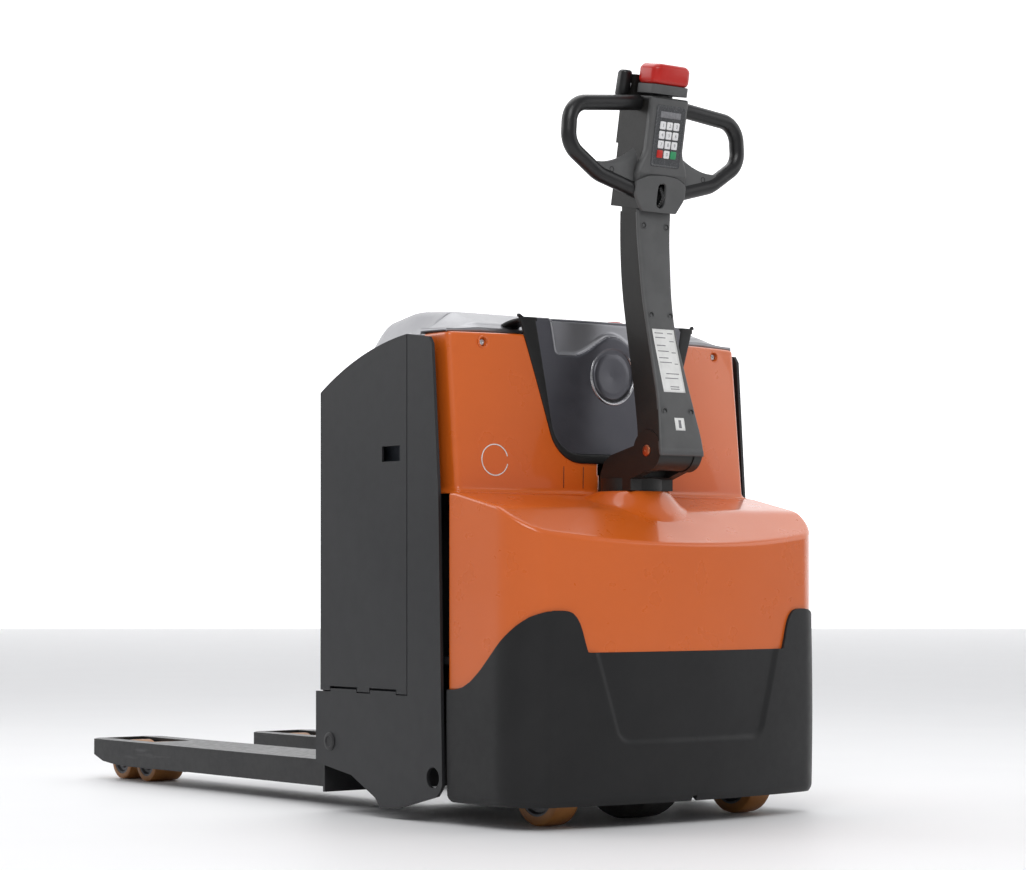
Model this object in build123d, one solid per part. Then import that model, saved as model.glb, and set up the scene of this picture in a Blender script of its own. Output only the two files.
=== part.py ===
from build123d import *
from math import atan2, degrees, radians, sin, sqrt
import os

os.makedirs("parts", exist_ok=True)

# Walkie electric pallet truck, in millimetres.
# X is the truck's right, Y runs from the nose of the cowl to the fork tips, Z is up.
# The origin is on the floor, under the middle of the overall box.

# Overall sizes
overall_width = 720.0
drive_section = 354.0       # nose of the bumper to the front of the battery box
battery_section = 268.0     # front of the battery box to the fork face
fork_length = 990.0
lift_travel = 120.0

# Plates and walls
side_plate = 6.0
door_plate = 4.0
box_plate = 6.0
frame_plate = 8.0
deck_plate = 12.0
cowl_wall = 4.0
bumper_wall = 10.0
hood_wall = 3.0

# Forks and their running gear
fork_width = 163.0
fork_spacing = 400.0        # from centre to centre
fork_top = 85.0
fork_height = 50.0
fork_plate = 6.0
roller_diameter = 82.0
roller_width = 70.0
roller_spacing = 100.0
roller_axle = 20.0
bogie_pin = 14.0
bogie_from_tip = 109.0
carrier_length = 218.0
carrier_pin = 24.0
carrier_pin_height = 60.0
link_radius = 22.0          # the pull rod's pin below the carrier's pivot
link_pin = 10.0

# Drive wheel, steering and castors
steer_from_nose = 168.0
drive_wheel_diameter = 230.0
drive_wheel_width = 75.0
drive_axle = 40.0
deck_height = 276.0
bearing_radius = 95.0
bearing_height = 18.0
neck_radius = 57.0
castor_from_nose = 156.0
castor_spacing = 448.0
castor_diameter = 125.0
castor_width = 50.0
castor_trail = 25.0
castor_axle = 16.0
castor_stem = 24.0
castor_deck_height = 160.0

# Tiller
pivot_ahead = 95.0          # tiller pivot ahead of the steering axis
pivot_height = 646.0
pivot_pin_diameter = 20.0
clevis_radius = 36.0
clevis_half_width = 49.0
tongue_half_width = 30.7
arm_base_radius = 40.0
arm_cover_thickness = 5.0
arm_top = 1071.0
grip_diameter = 27.0
head_tilt = 10.4
head_half_width = 38.0

# Clearances
running = 0.05              # radial, a shaft in its bearing
free_gap = 0.3              # between parts that slide past each other
swing_gap = 0.6             # round the clevis and the pull rod's pin
panel_gap = 2.0             # round doors and lids
neck_gap = 5.0              # round the steering column in the cowl

# Places that follow from the sizes
total_length = drive_section + battery_section + fork_length
nose_y = -total_length / 2
tip_y = total_length / 2
box_front_y = nose_y + drive_section
fork_face_y = box_front_y + battery_section
half_width = overall_width / 2
side_inner = half_width - side_plate
steer_y = nose_y + steer_from_nose
castor_y = nose_y + castor_from_nose
castor_x = castor_spacing / 2
frame_back_y = box_front_y - 10.0
frame_front_y = frame_back_y - frame_plate
deck_top = deck_height + deck_plate
bumper_half = half_width - 5.0
bumper_inner_half = bumper_half - bumper_wall
cowl_half = bumper_inner_half + cowl_wall
hood_half = side_inner - 19.0
shell_rear_y = box_front_y - 110.0
fork_x = fork_spacing / 2
fork_bottom = fork_top - fork_height
pivot_y = steer_y - pivot_ahead
wheel_radius = drive_wheel_diameter / 2

nodes = {}


def group(*pieces):
    return Compound(children=list(pieces))


def block(x_low, x_high, y_low, y_high, z_low, z_high):
    # a box between two corners
    size = (x_high - x_low, y_high - y_low, z_high - z_low)
    place = ((x_low + x_high) / 2, (y_low + y_high) / 2, (z_low + z_high) / 2)
    return Pos(*place) * Box(*size)


def plate_yz(points, x_low, x_high):
    # a plate parallel to the truck's sides, cut to an outline in Y and Z
    face = Plane.YZ * make_face(Polyline(*points, close=True))
    return Pos(x_low, 0, 0) * extrude(face, x_high - x_low)


def plate_xz(outline, y_low, y_high):
    # a plate that faces the nose, cut to an outline in X and Z
    face = Plane.XZ * make_face(outline)
    return Pos(0, y_high, 0) * extrude(face, y_high - y_low)


def rod_x(radius, x_low, x_high, y, z):
    # a round bar along X
    return Pos((x_low + x_high) / 2, y, z) * Rot(0, 90, 0) * Cylinder(radius, x_high - x_low)


def rod_z(radius, x, y, z_low, z_high):
    # a round bar along Z
    return Pos(x, y, (z_low + z_high) / 2) * Cylinder(radius, z_high - z_low)


def rod_y(radius, x, y_low, y_high, z):
    # a round bar along Y
    return Pos(x, (y_low + y_high) / 2, z) * Rot(90, 0, 0) * Cylinder(radius, y_high - y_low)


# ---------------------------------------------------------------- shells of the drive end
nose_side_y = nose_y + 106.0
nose_corner_y = nose_y + 31.0
nose_corner_x = half_width - 60.0


def nose_plan(inset, rear_y, z):
    # plan of the drive end: flat sides, round corners and a slightly bowed nose
    side = bumper_half - inset
    corner = (nose_corner_x - inset * 0.6, nose_corner_y + inset * 0.8)
    bend = (bumper_half - 17.0 - inset * 0.9, nose_side_y - 45.0 + inset * 0.5)
    outline = [
        Line((-side, rear_y), (-side, nose_side_y)),
        ThreePointArc((-side, nose_side_y), (-bend[0], bend[1]), (-corner[0], corner[1])),
        ThreePointArc((-corner[0], corner[1]), (0, nose_y + inset), corner),
        ThreePointArc(corner, bend, (side, nose_side_y)),
        Line((side, nose_side_y), (side, rear_y)),
        Line((side, rear_y), (-side, rear_y)),
    ]
    return Pos(0, 0, z) * make_face(Wire(outline))


bumper_bottom = 40.0
bumper_front_top = 299.0
bumper_hump_top = 370.0
bumper_notch_x = 226.0
cowl_top = 573.0
ridge_height = 484.0
ridge_y = nose_y + 8.0

# below this seam is bumper, above it is cowl
side_seam = [
    (nose_y - 40, 0),
    (nose_y - 40, bumper_hump_top),
    (nose_y + 31, bumper_hump_top),
    (nose_y + 67, bumper_hump_top - 24),
    (nose_y + 122, bumper_hump_top - 75),
    (nose_y + 177, bumper_hump_top - 123),
    (shell_rear_y, bumper_hump_top - 136),
    (shell_rear_y + 60, bumper_hump_top - 136),
    (shell_rear_y + 60, 0),
]
seam = block(-bumper_notch_x - 1, bumper_notch_x + 1, nose_y - 40, nose_y + 320, 0, bumper_front_top)
for side in (-1, 1):
    edges = sorted((side * bumper_notch_x, side * (half_width + 40)))
    seam = seam + plate_yz(side_seam, *edges)

bumper_outer = extrude(nose_plan(0, shell_rear_y, bumper_bottom), 360)
bumper_inner = extrude(nose_plan(bumper_wall, shell_rear_y + 20, bumper_bottom - 10), 380)
bumper = (bumper_outer - bumper_inner) & seam
recess_depth = 4.0
recess = Polyline((-208, 310), (-172, 133), (172, 133), (208, 310), close=True)
recess_cut = plate_xz(recess, nose_y - 40, nose_y + 160)
recess_skin = extrude(nose_plan(recess_depth, shell_rear_y, bumper_bottom - 10), 380)
bumper = bumper - (recess_cut - recess_skin)
nodes["bumper_skirt"] = bumper

# the cowl's top slopes down to the ridge, and rises in a round boss at the steering column
roof = [
    (nose_y - 40, 0),
    (nose_y - 40, ridge_height - 4),
    (ridge_y, ridge_height),
    (nose_y + 110, cowl_top - 27),
    (nose_y + 232, cowl_top),
    (shell_rear_y + 30, cowl_top),
    (shell_rear_y + 30, 0),
]
roof_inner = [(y, z - cowl_wall if z else z) for y, z in roof]
cowl_inset = bumper_half - cowl_half
cowl_outer = extrude(nose_plan(cowl_inset, shell_rear_y, 200), 400)
cowl_outer = cowl_outer & plate_yz(roof, -half_width, half_width)
cowl_inner = extrude(nose_plan(cowl_inset + cowl_wall, shell_rear_y + 20, 190), 420)
cowl_inner = cowl_inner & plate_yz(roof_inner, -half_width, half_width)
boss_top = cowl_top + 4.0
boss_low = cowl_top - 45.0
boss_radius = neck_radius + neck_gap + cowl_wall
boss_mid = (boss_top + boss_low) / 2
boss = Pos(0, steer_y, boss_mid) * Cone(boss_radius + 26, boss_radius, boss_top - boss_low)
boss_bore = Pos(0, steer_y, boss_mid - 0.5) * Cone(
    boss_radius + 26 - cowl_wall, boss_radius - cowl_wall, boss_top - boss_low + 1.0
)
cowl = (cowl_outer - cowl_inner) - seam
cowl = cowl + (boss - cowl_inner)
cowl = cowl - rod_z(boss_radius - cowl_wall, 0, steer_y, boss_low - 20, boss_top + 5)
cowl = cowl - (boss_bore & cowl_inner)
shelf = block(-hood_half, hood_half, shell_rear_y - 2, frame_front_y, cowl_top - cowl_wall, cowl_top)
lift_y = frame_front_y - 35.0
barrel_radius = 28.0
cowl = cowl + (shelf - rod_z(barrel_radius + neck_gap, 0, lift_y, cowl_top - 20, cowl_top + 5))
nodes["lower_cowl"] = cowl

# ---------------------------------------------------------------- upper hood, trim and centre panel
hood_top = 852.0
panel_top = 884.0
hood_low_corner_y = nose_y + 240.0
hood_low_mid_y = nose_y + 231.0
hood_high_corner_y = nose_y + 269.0
hood_high_mid_y = nose_y + 222.0
hood_lean_low = cowl_top
hood_lean_high = hood_top


def hood_plan(z, grow):
    # plan of the hood at height z: its bowed front leans back towards the top
    share = (z - hood_lean_low) / (hood_lean_high - hood_lean_low)
    corner = hood_low_corner_y + share * (hood_high_corner_y - hood_low_corner_y) - grow
    middle = hood_low_mid_y + share * (hood_high_mid_y - hood_low_mid_y) - grow
    half = hood_half + min(grow, 0)
    outline = [
        Line((-half, frame_front_y), (-half, corner)),
        ThreePointArc((-half, corner), (0, middle), (half, corner)),
        Line((half, corner), (half, frame_front_y)),
        Line((half, frame_front_y), (-half, frame_front_y)),
    ]
    return Pos(0, 0, z) * make_face(Wire(outline))


def hood_form(z_low, z_high, grow):
    return loft([hood_plan(z_low, grow), hood_plan(z_high, grow)], ruled=True)


trim_line = FilletPolyline(
    (-203, hood_top + 34), (-197, hood_top + 14), (-120, 628), (120, 628), (197, hood_top + 14),
    (203, hood_top + 34), radius=[20, 75, 75, 20],
)
trim_outline = Wire([*trim_line.edges(), Line(trim_line @ 1, trim_line @ 0)])
panel_line = FilletPolyline((-168, panel_top), (-126, 645), (126, 645), (168, panel_top), radius=[64, 64])
panel_outline = Wire([*panel_line.edges(), Line(panel_line @ 1, panel_line @ 0)])
trim_cut = plate_xz(trim_outline, nose_y + 150, frame_front_y - 30)
panel_cut = plate_xz(panel_outline, nose_y + 150, frame_front_y - 30)

hood = hood_form(cowl_top, hood_top, 0) - hood_form(cowl_top - 10, hood_top - hood_wall, -hood_wall)
hood = hood - trim_cut
hood = hood - rod_z(boss_radius + 4, 0, steer_y, cowl_top - 5, boss_top + 2)
screw_x = 270.0
screw_z = 835.0
screw_radius = 6.0
screw_face_y = hood_low_corner_y + 21.0
for side in (-1, 1):
    hood = hood - rod_y(screw_radius + 0.2, side * screw_x, nose_y + 200, frame_front_y - 20, screw_z)
nodes["upper_hood"] = hood

trim_depth = 14.0
trim = (hood_form(600, hood_top + 30, 2.0) - hood_form(590, hood_top + 40, -trim_depth)) & trim_cut
trim = trim - panel_cut
nodes["hood_trim"] = trim

panel_wall = 5.0
badge_z = 786.0
badge_radius = 44.0
badge_seat_y = nose_y + 223.8
panel = (hood_form(600, panel_top, 3.0) - hood_form(590, panel_top - panel_wall, 3.0 - panel_wall)) & panel_cut
panel = panel - block(-half_width, half_width, nose_y + 262, frame_back_y, 500, 1000)
panel = panel - rod_y(badge_radius + 3, 0, nose_y + 150, badge_seat_y, badge_z)
nodes["centre_panel"] = panel
nodes["roundel_badge"] = rod_y(badge_radius, 0, badge_seat_y - 3.5, badge_seat_y, badge_z)

screws = []
for side in (-1, 1):
    shank = rod_y(screw_radius, side * screw_x, screw_face_y - 4, screw_face_y + 16, screw_z)
    socket = rod_y(2.6, side * screw_x, screw_face_y - 5, screw_face_y - 1, screw_z)
    screws.append(shank - socket)
nodes["hood_screws"] = group(*screws)

# ---------------------------------------------------------------- frame of the drive end
top_cover_rear = frame_back_y + 6.0
cover_profile = [
    (hood_high_corner_y + 4, hood_top),
    (hood_high_corner_y + 12, hood_top + 20),
    (nose_y + 294, hood_top + 22),
    (top_cover_rear, hood_top + 46),
    (top_cover_rear, hood_top),
]
cover_wall = 3.0
cover_inner = [
    (hood_high_corner_y + 8, hood_top - 1),
    (hood_high_corner_y + 15, hood_top + 17),
    (nose_y + 294, hood_top + 19),
    (top_cover_rear - cover_wall, hood_top + 42),
    (top_cover_rear - cover_wall, hood_top - 1),
]
stop_x = 52.0
stop_y = nose_y + 282.0
stop_stem_radius = 8.0
cover = plate_yz(cover_profile, -hood_half, hood_half)
cover = cover - plate_yz(cover_inner, -hood_half + cover_wall, hood_half - cover_wall)
cover = cover - rod_z(stop_stem_radius + running, stop_x, stop_y, hood_top + 5, hood_top + 60)
nodes["top_cover"] = cover
stop_head_z = hood_top + 29.0
stop_head_radius = 18.0
stop_button = rod_z(stop_head_radius, stop_x, stop_y, stop_head_z, stop_head_z + 9)
stop_button = stop_button + rod_z(stop_stem_radius, stop_x, stop_y, hood_top + 10, stop_head_z + 1)
nodes["estop_button"] = stop_button

slot_half = 46.0
back_plate = block(-hood_half - 5, hood_half + 5, frame_front_y, frame_back_y, 60, 800)
back_plate = back_plate - block(-slot_half, slot_half, frame_front_y - 1, frame_back_y + 1, 660, 801)
deck = block(-bumper_inner_half, bumper_inner_half, nose_y + 46, frame_front_y, deck_height, deck_top)
deck = deck & extrude(nose_plan(bumper_wall + 1.0, frame_front_y, deck_height), deck_plate)
deck = deck - rod_z(bearing_radius + 1, 0, steer_y, deck_height - 5, deck_top + 5)
frame = back_plate + deck
castor_deck_top = castor_deck_height + 10.0
for side in (-1, 1):
    edges = sorted((side * 135.0, side * bumper_inner_half))
    frame = frame + block(*edges, nose_side_y, shell_rear_y, castor_deck_height, castor_deck_top)
    edges = sorted((side * 135.0, side * 143.0))
    frame = frame + block(*edges, nose_side_y, frame_front_y, castor_deck_height, deck_height)
    edges = sorted((side * 300.0, side * 308.0))
    frame = frame + block(*edges, nose_side_y + 30, frame_front_y, castor_deck_top, deck_height)
    stem_hole = rod_z(castor_stem / 2 + running, side * castor_x, castor_y, 150, 180)
    frame = frame - stem_hole
nodes["base_frame"] = frame

rails = []
for side in (-1, 1):
    edges = sorted((side * 250.0, side * 280.0))
    rails.append(block(*edges, frame_back_y, box_front_y - free_gap, 100, 780))
nodes["guide_rails"] = group(*rails)

outer_ring = rod_z(bearing_radius + 8, 0, steer_y, deck_top, deck_top + bearing_height)
outer_ring = outer_ring - rod_z(bearing_radius, 0, steer_y, deck_top - 1, deck_top + bearing_height + 1)
nodes["bearing_outer_ring"] = outer_ring

lift_rod_radius = 15.0
barrel_top = deck_top + 312.0
barrel = rod_z(barrel_radius, 0, lift_y, deck_top, barrel_top)
barrel = barrel - rod_z(lift_rod_radius + running, 0, lift_y, deck_top + 30, barrel_top + 1)
nodes["lift_cylinder"] = barrel

pump_front_y = frame_front_y - 55.0
tank = block(-250, -90, pump_front_y, frame_front_y, 600, 710)
pump = rod_z(26, -200, frame_front_y - 27, 710, 820)
valve = block(-150, -100, pump_front_y + 8, frame_front_y, 710, 760)
nodes["power_pack"] = group(tank, pump, valve)
controller = block(90, 250, pump_front_y + 10, frame_front_y, 600, 790)
for step in range(6):
    z_low = 620 + step * 26
    controller = controller - block(89, 251, pump_front_y, pump_front_y + 18, z_low, z_low + 12)
nodes["motor_controller"] = controller

# ---------------------------------------------------------------- steering unit and drive wheel
ring_inner = bearing_radius - 15.0
inner_ring = rod_z(bearing_radius - running, 0, steer_y, deck_height + 10, deck_top + bearing_height)
inner_ring = inner_ring - rod_z(ring_inner, 0, steer_y, deck_height, deck_top + bearing_height + 1)
nodes["bearing_inner_ring"] = inner_ring
flange_top = deck_height + 10.0
gear_low_x = drive_wheel_width / 2 + 4.0
gear_high_x = gear_low_x + 40.0
housing = rod_z(bearing_radius - 3, 0, steer_y, flange_top - 16, flange_top)
housing = housing + block(gear_low_x, gear_high_x, steer_y - 45, steer_y + 45, wheel_radius, flange_top - 15)
housing = housing + rod_x(62, gear_low_x, gear_high_x, steer_y, wheel_radius)
housing = housing + rod_x(drive_axle / 2, -drive_wheel_width / 2, gear_low_x + 1, steer_y, wheel_radius)
nodes["drive_housing"] = housing
motor = rod_z(68, 0, steer_y, flange_top, flange_top + 140)
brake = rod_z(48, 0, steer_y, flange_top + 140, flange_top + 180)
nodes["traction_motor"] = group(motor, brake)
hub_radius = 80.0
hub = rod_x(hub_radius, -drive_wheel_width / 2, drive_wheel_width / 2, steer_y, wheel_radius)
hub = hub - rod_x(drive_axle / 2 + running, -60, 60, steer_y, wheel_radius)
nodes["drive_hub"] = hub
tyre = rod_x(wheel_radius, -drive_wheel_width / 2, drive_wheel_width / 2, steer_y, wheel_radius)
tyre = chamfer(tyre.edges(), 5)
nodes["drive_tyre"] = tyre - rod_x(hub_radius, -60, 60, steer_y, wheel_radius)

column_top = 498.0
column_low = deck_top + bearing_height
neck_top = cowl_top + 27.0
column = rod_z(bearing_radius - 3, 0, steer_y, column_low, column_top)
column = column - rod_z(bearing_radius - 11, 0, steer_y, column_low - 1, column_top - 8)
column = column + rod_z(neck_radius, 0, steer_y, column_top - 1, neck_top)
clevis_outline = [
    (steer_y + 37, neck_top - 22),
    (steer_y + 30, neck_top + 10),
    (steer_y + 20, neck_top + 30),
    (steer_y + 2, neck_top + 41),
    (pivot_y + 33, neck_top + 56),
    (pivot_y + 10, pivot_height + clevis_radius - 2),
    (pivot_y, pivot_height + clevis_radius - 1),
    (pivot_y + 6, pivot_height - clevis_radius),
    (steer_y - neck_radius + 5, neck_top - 2),
    (steer_y - neck_radius + 5, neck_top - 22),
]
clevis = plate_yz(clevis_outline, -clevis_half_width, clevis_half_width)
clevis = clevis + rod_x(clevis_radius, -clevis_half_width, clevis_half_width, pivot_y, pivot_height)
tongue_slot = block(
    -tongue_half_width - free_gap, tongue_half_width + free_gap,
    pivot_y - 60, pivot_y + clevis_radius + 6, neck_top + 1, pivot_height + 60,
)
clevis = clevis - tongue_slot
column = column + clevis
pin_radius = pivot_pin_diameter / 2
column = column - rod_x(pin_radius + running, -80, 80, pivot_y, pivot_height)
nodes["tiller_bracket"] = column
pin = rod_x(pin_radius, -clevis_half_width - 1, clevis_half_width + 1, pivot_y, pivot_height)
nodes["pivot_pin"] = pin

# ---------------------------------------------------------------- tiller arm
arm_front = [
    (pivot_y - 40, pivot_height),
    (pivot_y - 21, pivot_height + 89),
    (pivot_y + 15, pivot_height + 213),
    (pivot_y + 26, pivot_height + 273),
    (pivot_y + 35, pivot_height + 375),
    (pivot_y + 35, arm_top),
]
arm_rear = [
    (pivot_y + 83, arm_top),
    (pivot_y + 86, pivot_height + 312),
    (pivot_y + 77, pivot_height + 227),
    (pivot_y + 59, pivot_height + 142),
    (pivot_y + 33, pivot_height + 57),
    (pivot_y + 26, pivot_height + 32),
    (pivot_y + 26, pivot_height),
]
arm_halves = [
    (50.0, pivot_height - 40),
    (50.0, pivot_height + 12),
    (38.7, pivot_height + 89),
    (31.2, pivot_height + 213),
    (32.8, pivot_height + 273),
    (36.2, pivot_height + 375),
    (38.7, arm_top),
]


def arm_side(front_shift, rear_shift, x_half):
    # the arm's side profile between two smooth lines, as a slab
    front = Spline(*[(y + front_shift, z) for y, z in arm_front])
    rear = Spline(*[(y - rear_shift, z) for y, z in arm_rear])
    outline = Wire([front, Line(front @ 1, rear @ 0), rear, Line(rear @ 1, front @ 0)])
    return Pos(-x_half, 0, 0) * extrude(Plane.YZ * make_face(outline), 2 * x_half)


right_edge = Spline(*arm_halves)
left_edge = Spline(*[(-x, z) for x, z in reversed(arm_halves)])
arm_outline = Wire([
    right_edge, Line(right_edge @ 1, left_edge @ 0), left_edge, Line(left_edge @ 1, right_edge @ 0),
])
arm_front_view = plate_xz(arm_outline, pivot_y - 80, pivot_y + 120)
cheek_clear = clevis_radius + swing_gap
cheek_room = rod_x(cheek_clear, -70, 70, pivot_y, pivot_height)
cheek_room = cheek_room - rod_x(80, -tongue_half_width, tongue_half_width, pivot_y, pivot_height)
tongue = rod_x(clevis_radius - 2, -tongue_half_width, tongue_half_width, pivot_y, pivot_height)
pin_hole = rod_x(pin_radius + running, -80, 80, pivot_y, pivot_height)
arm = arm_side(arm_cover_thickness, 0, 60) & arm_front_view
arm_hollow = arm_side(arm_cover_thickness + 9, 9, 24) & block(-24, 24, nose_y, 0, pivot_height + 60, arm_top - 12)
arm = arm - arm_hollow - cheek_room + tongue - pin_hole
nodes["tiller_arm"] = arm
wrap = rod_x(arm_base_radius, -50, 50, pivot_y, pivot_height)
wrap = wrap - rod_x(cheek_clear, -60, 60, pivot_y, pivot_height)
wrap = wrap & block(-50, 50, pivot_y - 60, pivot_y - 20, pivot_height - 10, pivot_height)
arm_cover = (arm_side(0, 0, 60) - arm_side(arm_cover_thickness, -40, 60)) & arm_front_view
arm_cover = arm_cover - rod_x(cheek_clear, -60, 60, pivot_y, pivot_height) + wrap
arm_screw_places = [(30.4, 68, -23.7), (22.0, 238.4, 20.8), (26.2, 396.4, 35.4)]
arm_screws = []
for x, z, y in arm_screw_places:
    for side in (-1, 1):
        well = rod_y(5.0, side * x, pivot_y + y - 20, pivot_y + y + 0.8, pivot_height + z)
        arm_cover = arm_cover - well
        arm_screws.append(rod_y(4.6, side * x, pivot_y + y - 1.4, pivot_y + y + 0.8, pivot_height + z))
nodes["arm_cover"] = arm_cover
nodes["arm_screws"] = group(*arm_screws)

# ---------------------------------------------------------------- tiller head
head_y = pivot_y + 59.0
head_z = arm_top + 14.0
head_place = Pos(0, head_y, head_z) * Rot(head_tilt, 0, 0)
loop_y = pivot_y + 35.0
grip_radius = grip_diameter / 2
face_top = 183.0
shaft_y = 40.0
shaft_z = 202.0
shaft_radius = 8.0

head = block(-head_half_width, head_half_width, -28, 50, -10, face_top)
head = head + block(-head_half_width, head_half_width, 22, 56, 100, face_top + 38)
head = head - rod_x(shaft_radius + running, -60, 60, shaft_y, shaft_z)
guide_radius = 10.0
head = head - rod_z(guide_radius + running, 0, -8, face_top - 40, face_top + 5)
thumb_buttons = {
    "lift_button": (-20, 150),
    "lower_button": (20, 150),
    "horn_button": (0, 118),
}
thumb_radius = 9.0
thumb_face = 56.0
for x, z in thumb_buttons.values():
    head = head - rod_y(thumb_radius + running, x, thumb_face - 12, thumb_face + 5, z)
head = head_place * head
below_head = block(-90, 90, nose_y, 0, arm_top - 80, arm_top)
head = head - below_head
socket = block(-36, 36, head_y - 23, head_y + 23, arm_top, head_z + 10)
nodes["head_body"] = head + socket

face_outline = [(-41, face_top), (-41, 108), (-57, 52), (57, 52), (41, 108), (41, face_top)]
face = plate_xz(Polyline(*face_outline, close=True), -38, -28)
keypad_half = 33.0
keypad_low = 74.0
keypad_high = 163.0
face = face - block(-keypad_half, keypad_half, -39, -35, keypad_low, keypad_high)
loops = {}
for side in (-1, 1):
    loop_points = [
        (side * head_half_width, 1256),
        (side * 192, 1240),
        (side * 197, 1168),
        (side * 130, 1124),
        (side * head_half_width, 1100),
    ]
    route = Plane.XZ * FilletPolyline(*loop_points, radius=[38, 40, 60])
    route = Pos(0, loop_y, 0) * route
    section = Plane(origin=route @ 0, z_dir=route % 0) * Circle(grip_radius)
    loops[side] = sweep(section, route)
webs = []
for side in (-1, 1):
    web_outline = [(side * 62, 1094), (side * 66, 1160), (side * 100, 1138), (side * 150, 1139), (side * 132, 1127)]
    web = plate_xz(Polyline(*web_outline, close=True), loop_y - 8, loop_y + 6) - loops[side]
    web = web - rod_y(4.0, side * 106, loop_y - 12, loop_y, 1132.5)
    webs.append(web)
nodes["head_cover"] = group(head_place * face, *webs)
hub_outline = [(-57, 51.5), (-57, 12), (-38, -14), (38, -14), (57, 12), (57, 51.5)]
hub_cover = plate_xz(Polyline(*hub_outline, close=True), -40, -28)
hub_slot = Pos(0, -34, 16) * Rot(90, 0, 0) * extrude(SlotOverall(44, 19, rotation=90), 20, both=True)
nodes["hub_cover"] = head_place * (hub_cover - hub_slot) - below_head
keys = [head_place * block(-keypad_half, keypad_half, -37, -35, keypad_low, keypad_high)]
for row in range(4):
    for column_index in (-1, 0, 1):
        x = column_index * 15.5
        z = 88 + row * 16.5
        keys.append(head_place * block(x - 6.3, x + 6.3, -38.4, -37, z - 6.8, z + 6.8))
nodes["keypad"] = group(*keys)

for name, side in (("left", -1), ("right", 1)):
    loop = loops[side] - nodes["head_body"] - head_place * face - nodes["hub_cover"]
    nodes["handle_loop_" + name] = loop

# the cap stands clear of the face by more than its 4 mm of travel
cap_room = 7.0
cap_low = face_top + cap_room
cap = block(-42, 42, -36, 18, cap_low + 16, cap_low + 55)
cap = fillet(cap.edges().filter_by(Axis.Z) + cap.faces().sort_by(Axis.Z)[-1].edges(), 9)
cap = cap + block(-40, 40, -34, 18, cap_low, cap_low + 17)
cap = cap + rod_z(guide_radius, 0, -8, face_top - 20, cap_low + 2)
nodes["belly_button"] = head_place * cap

rocker = rod_x(shaft_radius, -60, 60, shaft_y, shaft_z)
for side in (-1, 1):
    edges = sorted((side * (head_half_width + 1), side * 62.0))
    rocker = rocker + block(*edges, shaft_y - 9, shaft_y + 9, shaft_z - 22, shaft_z + 24)
nodes["throttle_rocker"] = head_place * rocker
for name, (x, z) in thumb_buttons.items():
    nodes[name] = head_place * rod_y(thumb_radius, x, thumb_face - 8, thumb_face + 4, z)

# ---------------------------------------------------------------- castors
castor_radius = castor_diameter / 2
for name, side in (("left", -1), ("right", 1)):
    x = side * castor_x
    wheel_y = castor_y - castor_trail
    inner = castor_width / 2 + 1.0
    outer = inner + 5.0
    fork = block(x - outer, x + outer, castor_y - 48, castor_y + 30, 150, castor_deck_height - free_gap)
    for low, high in ((x - outer, x - inner), (x + inner, x + outer)):
        fork = fork + block(low, high, wheel_y - 18, castor_y + 25, castor_radius - 18, 151)
    fork = fork + rod_x(castor_axle / 2, x - outer - 2, x + outer + 2, wheel_y, castor_radius)
    fork = fork + rod_z(castor_stem / 2, x, castor_y, 150, castor_deck_top + 2)
    nodes["castor_fork_" + name] = fork
    wheel = rod_x(castor_radius, x - castor_width / 2, x + castor_width / 2, wheel_y, castor_radius)
    wheel = fillet(wheel.edges(), 6)
    wheel = wheel - rod_x(castor_axle / 2 + running, x - 60, x + 60, wheel_y, castor_radius)
    nodes["castor_wheel_" + name] = wheel

# ---------------------------------------------------------------- lifting carriage
box_floor = 95.0
lower_top = 219.0
box_rear_top = 755.0
box_half = side_inner
shell = block(-box_half, box_half, box_front_y, box_front_y + box_plate, box_floor, 840)
shell = shell + block(-box_half, box_half, box_front_y, fork_face_y, box_floor, box_floor + box_plate)
shell = shell + block(-box_half, box_half, fork_face_y - box_plate, fork_face_y, fork_bottom, box_rear_top)
wall_half = half_width - door_plate - free_gap     # the doors close against the walls' ends
shell = shell + block(-wall_half, wall_half, box_front_y, box_front_y + box_plate, lower_top + 8, 840)
shell = shell + block(
    -wall_half, wall_half, fork_face_y - box_plate, fork_face_y, lower_top + 8, box_rear_top,
)
for side in (-1, 1):
    x = side * fork_x
    shell = shell - block(x - 13, x + 13, fork_face_y - 10, fork_face_y + 1, 0, 52)
crosshead_z = 690.0
crosshead = block(-40, 40, lift_y - 22, box_front_y + 1, crosshead_z, crosshead_z + 18)
nodes["battery_box"] = shell + crosshead
nodes["lift_rod"] = rod_z(lift_rod_radius, 0, lift_y, deck_top + 50, crosshead_z)

battery_half = box_half - 16.0
battery_low = box_floor + box_plate
battery_top = 690.0
case_front = box_front_y + box_plate + 8
case_rear = fork_face_y - box_plate - 8
battery_case = block(-battery_half, battery_half, case_front, case_rear, battery_low, battery_top)
battery_bits = [battery_case]
cells = 12
for index in range(cells):
    x = -battery_half + (index + 0.5) * 2 * battery_half / cells
    for row in (-1, 1):
        y = (case_front + case_rear) / 2 + row * 60
        battery_bits.append(rod_z(14, x, y, battery_top, battery_top + 12))
nodes["battery"] = group(*battery_bits)

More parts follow.
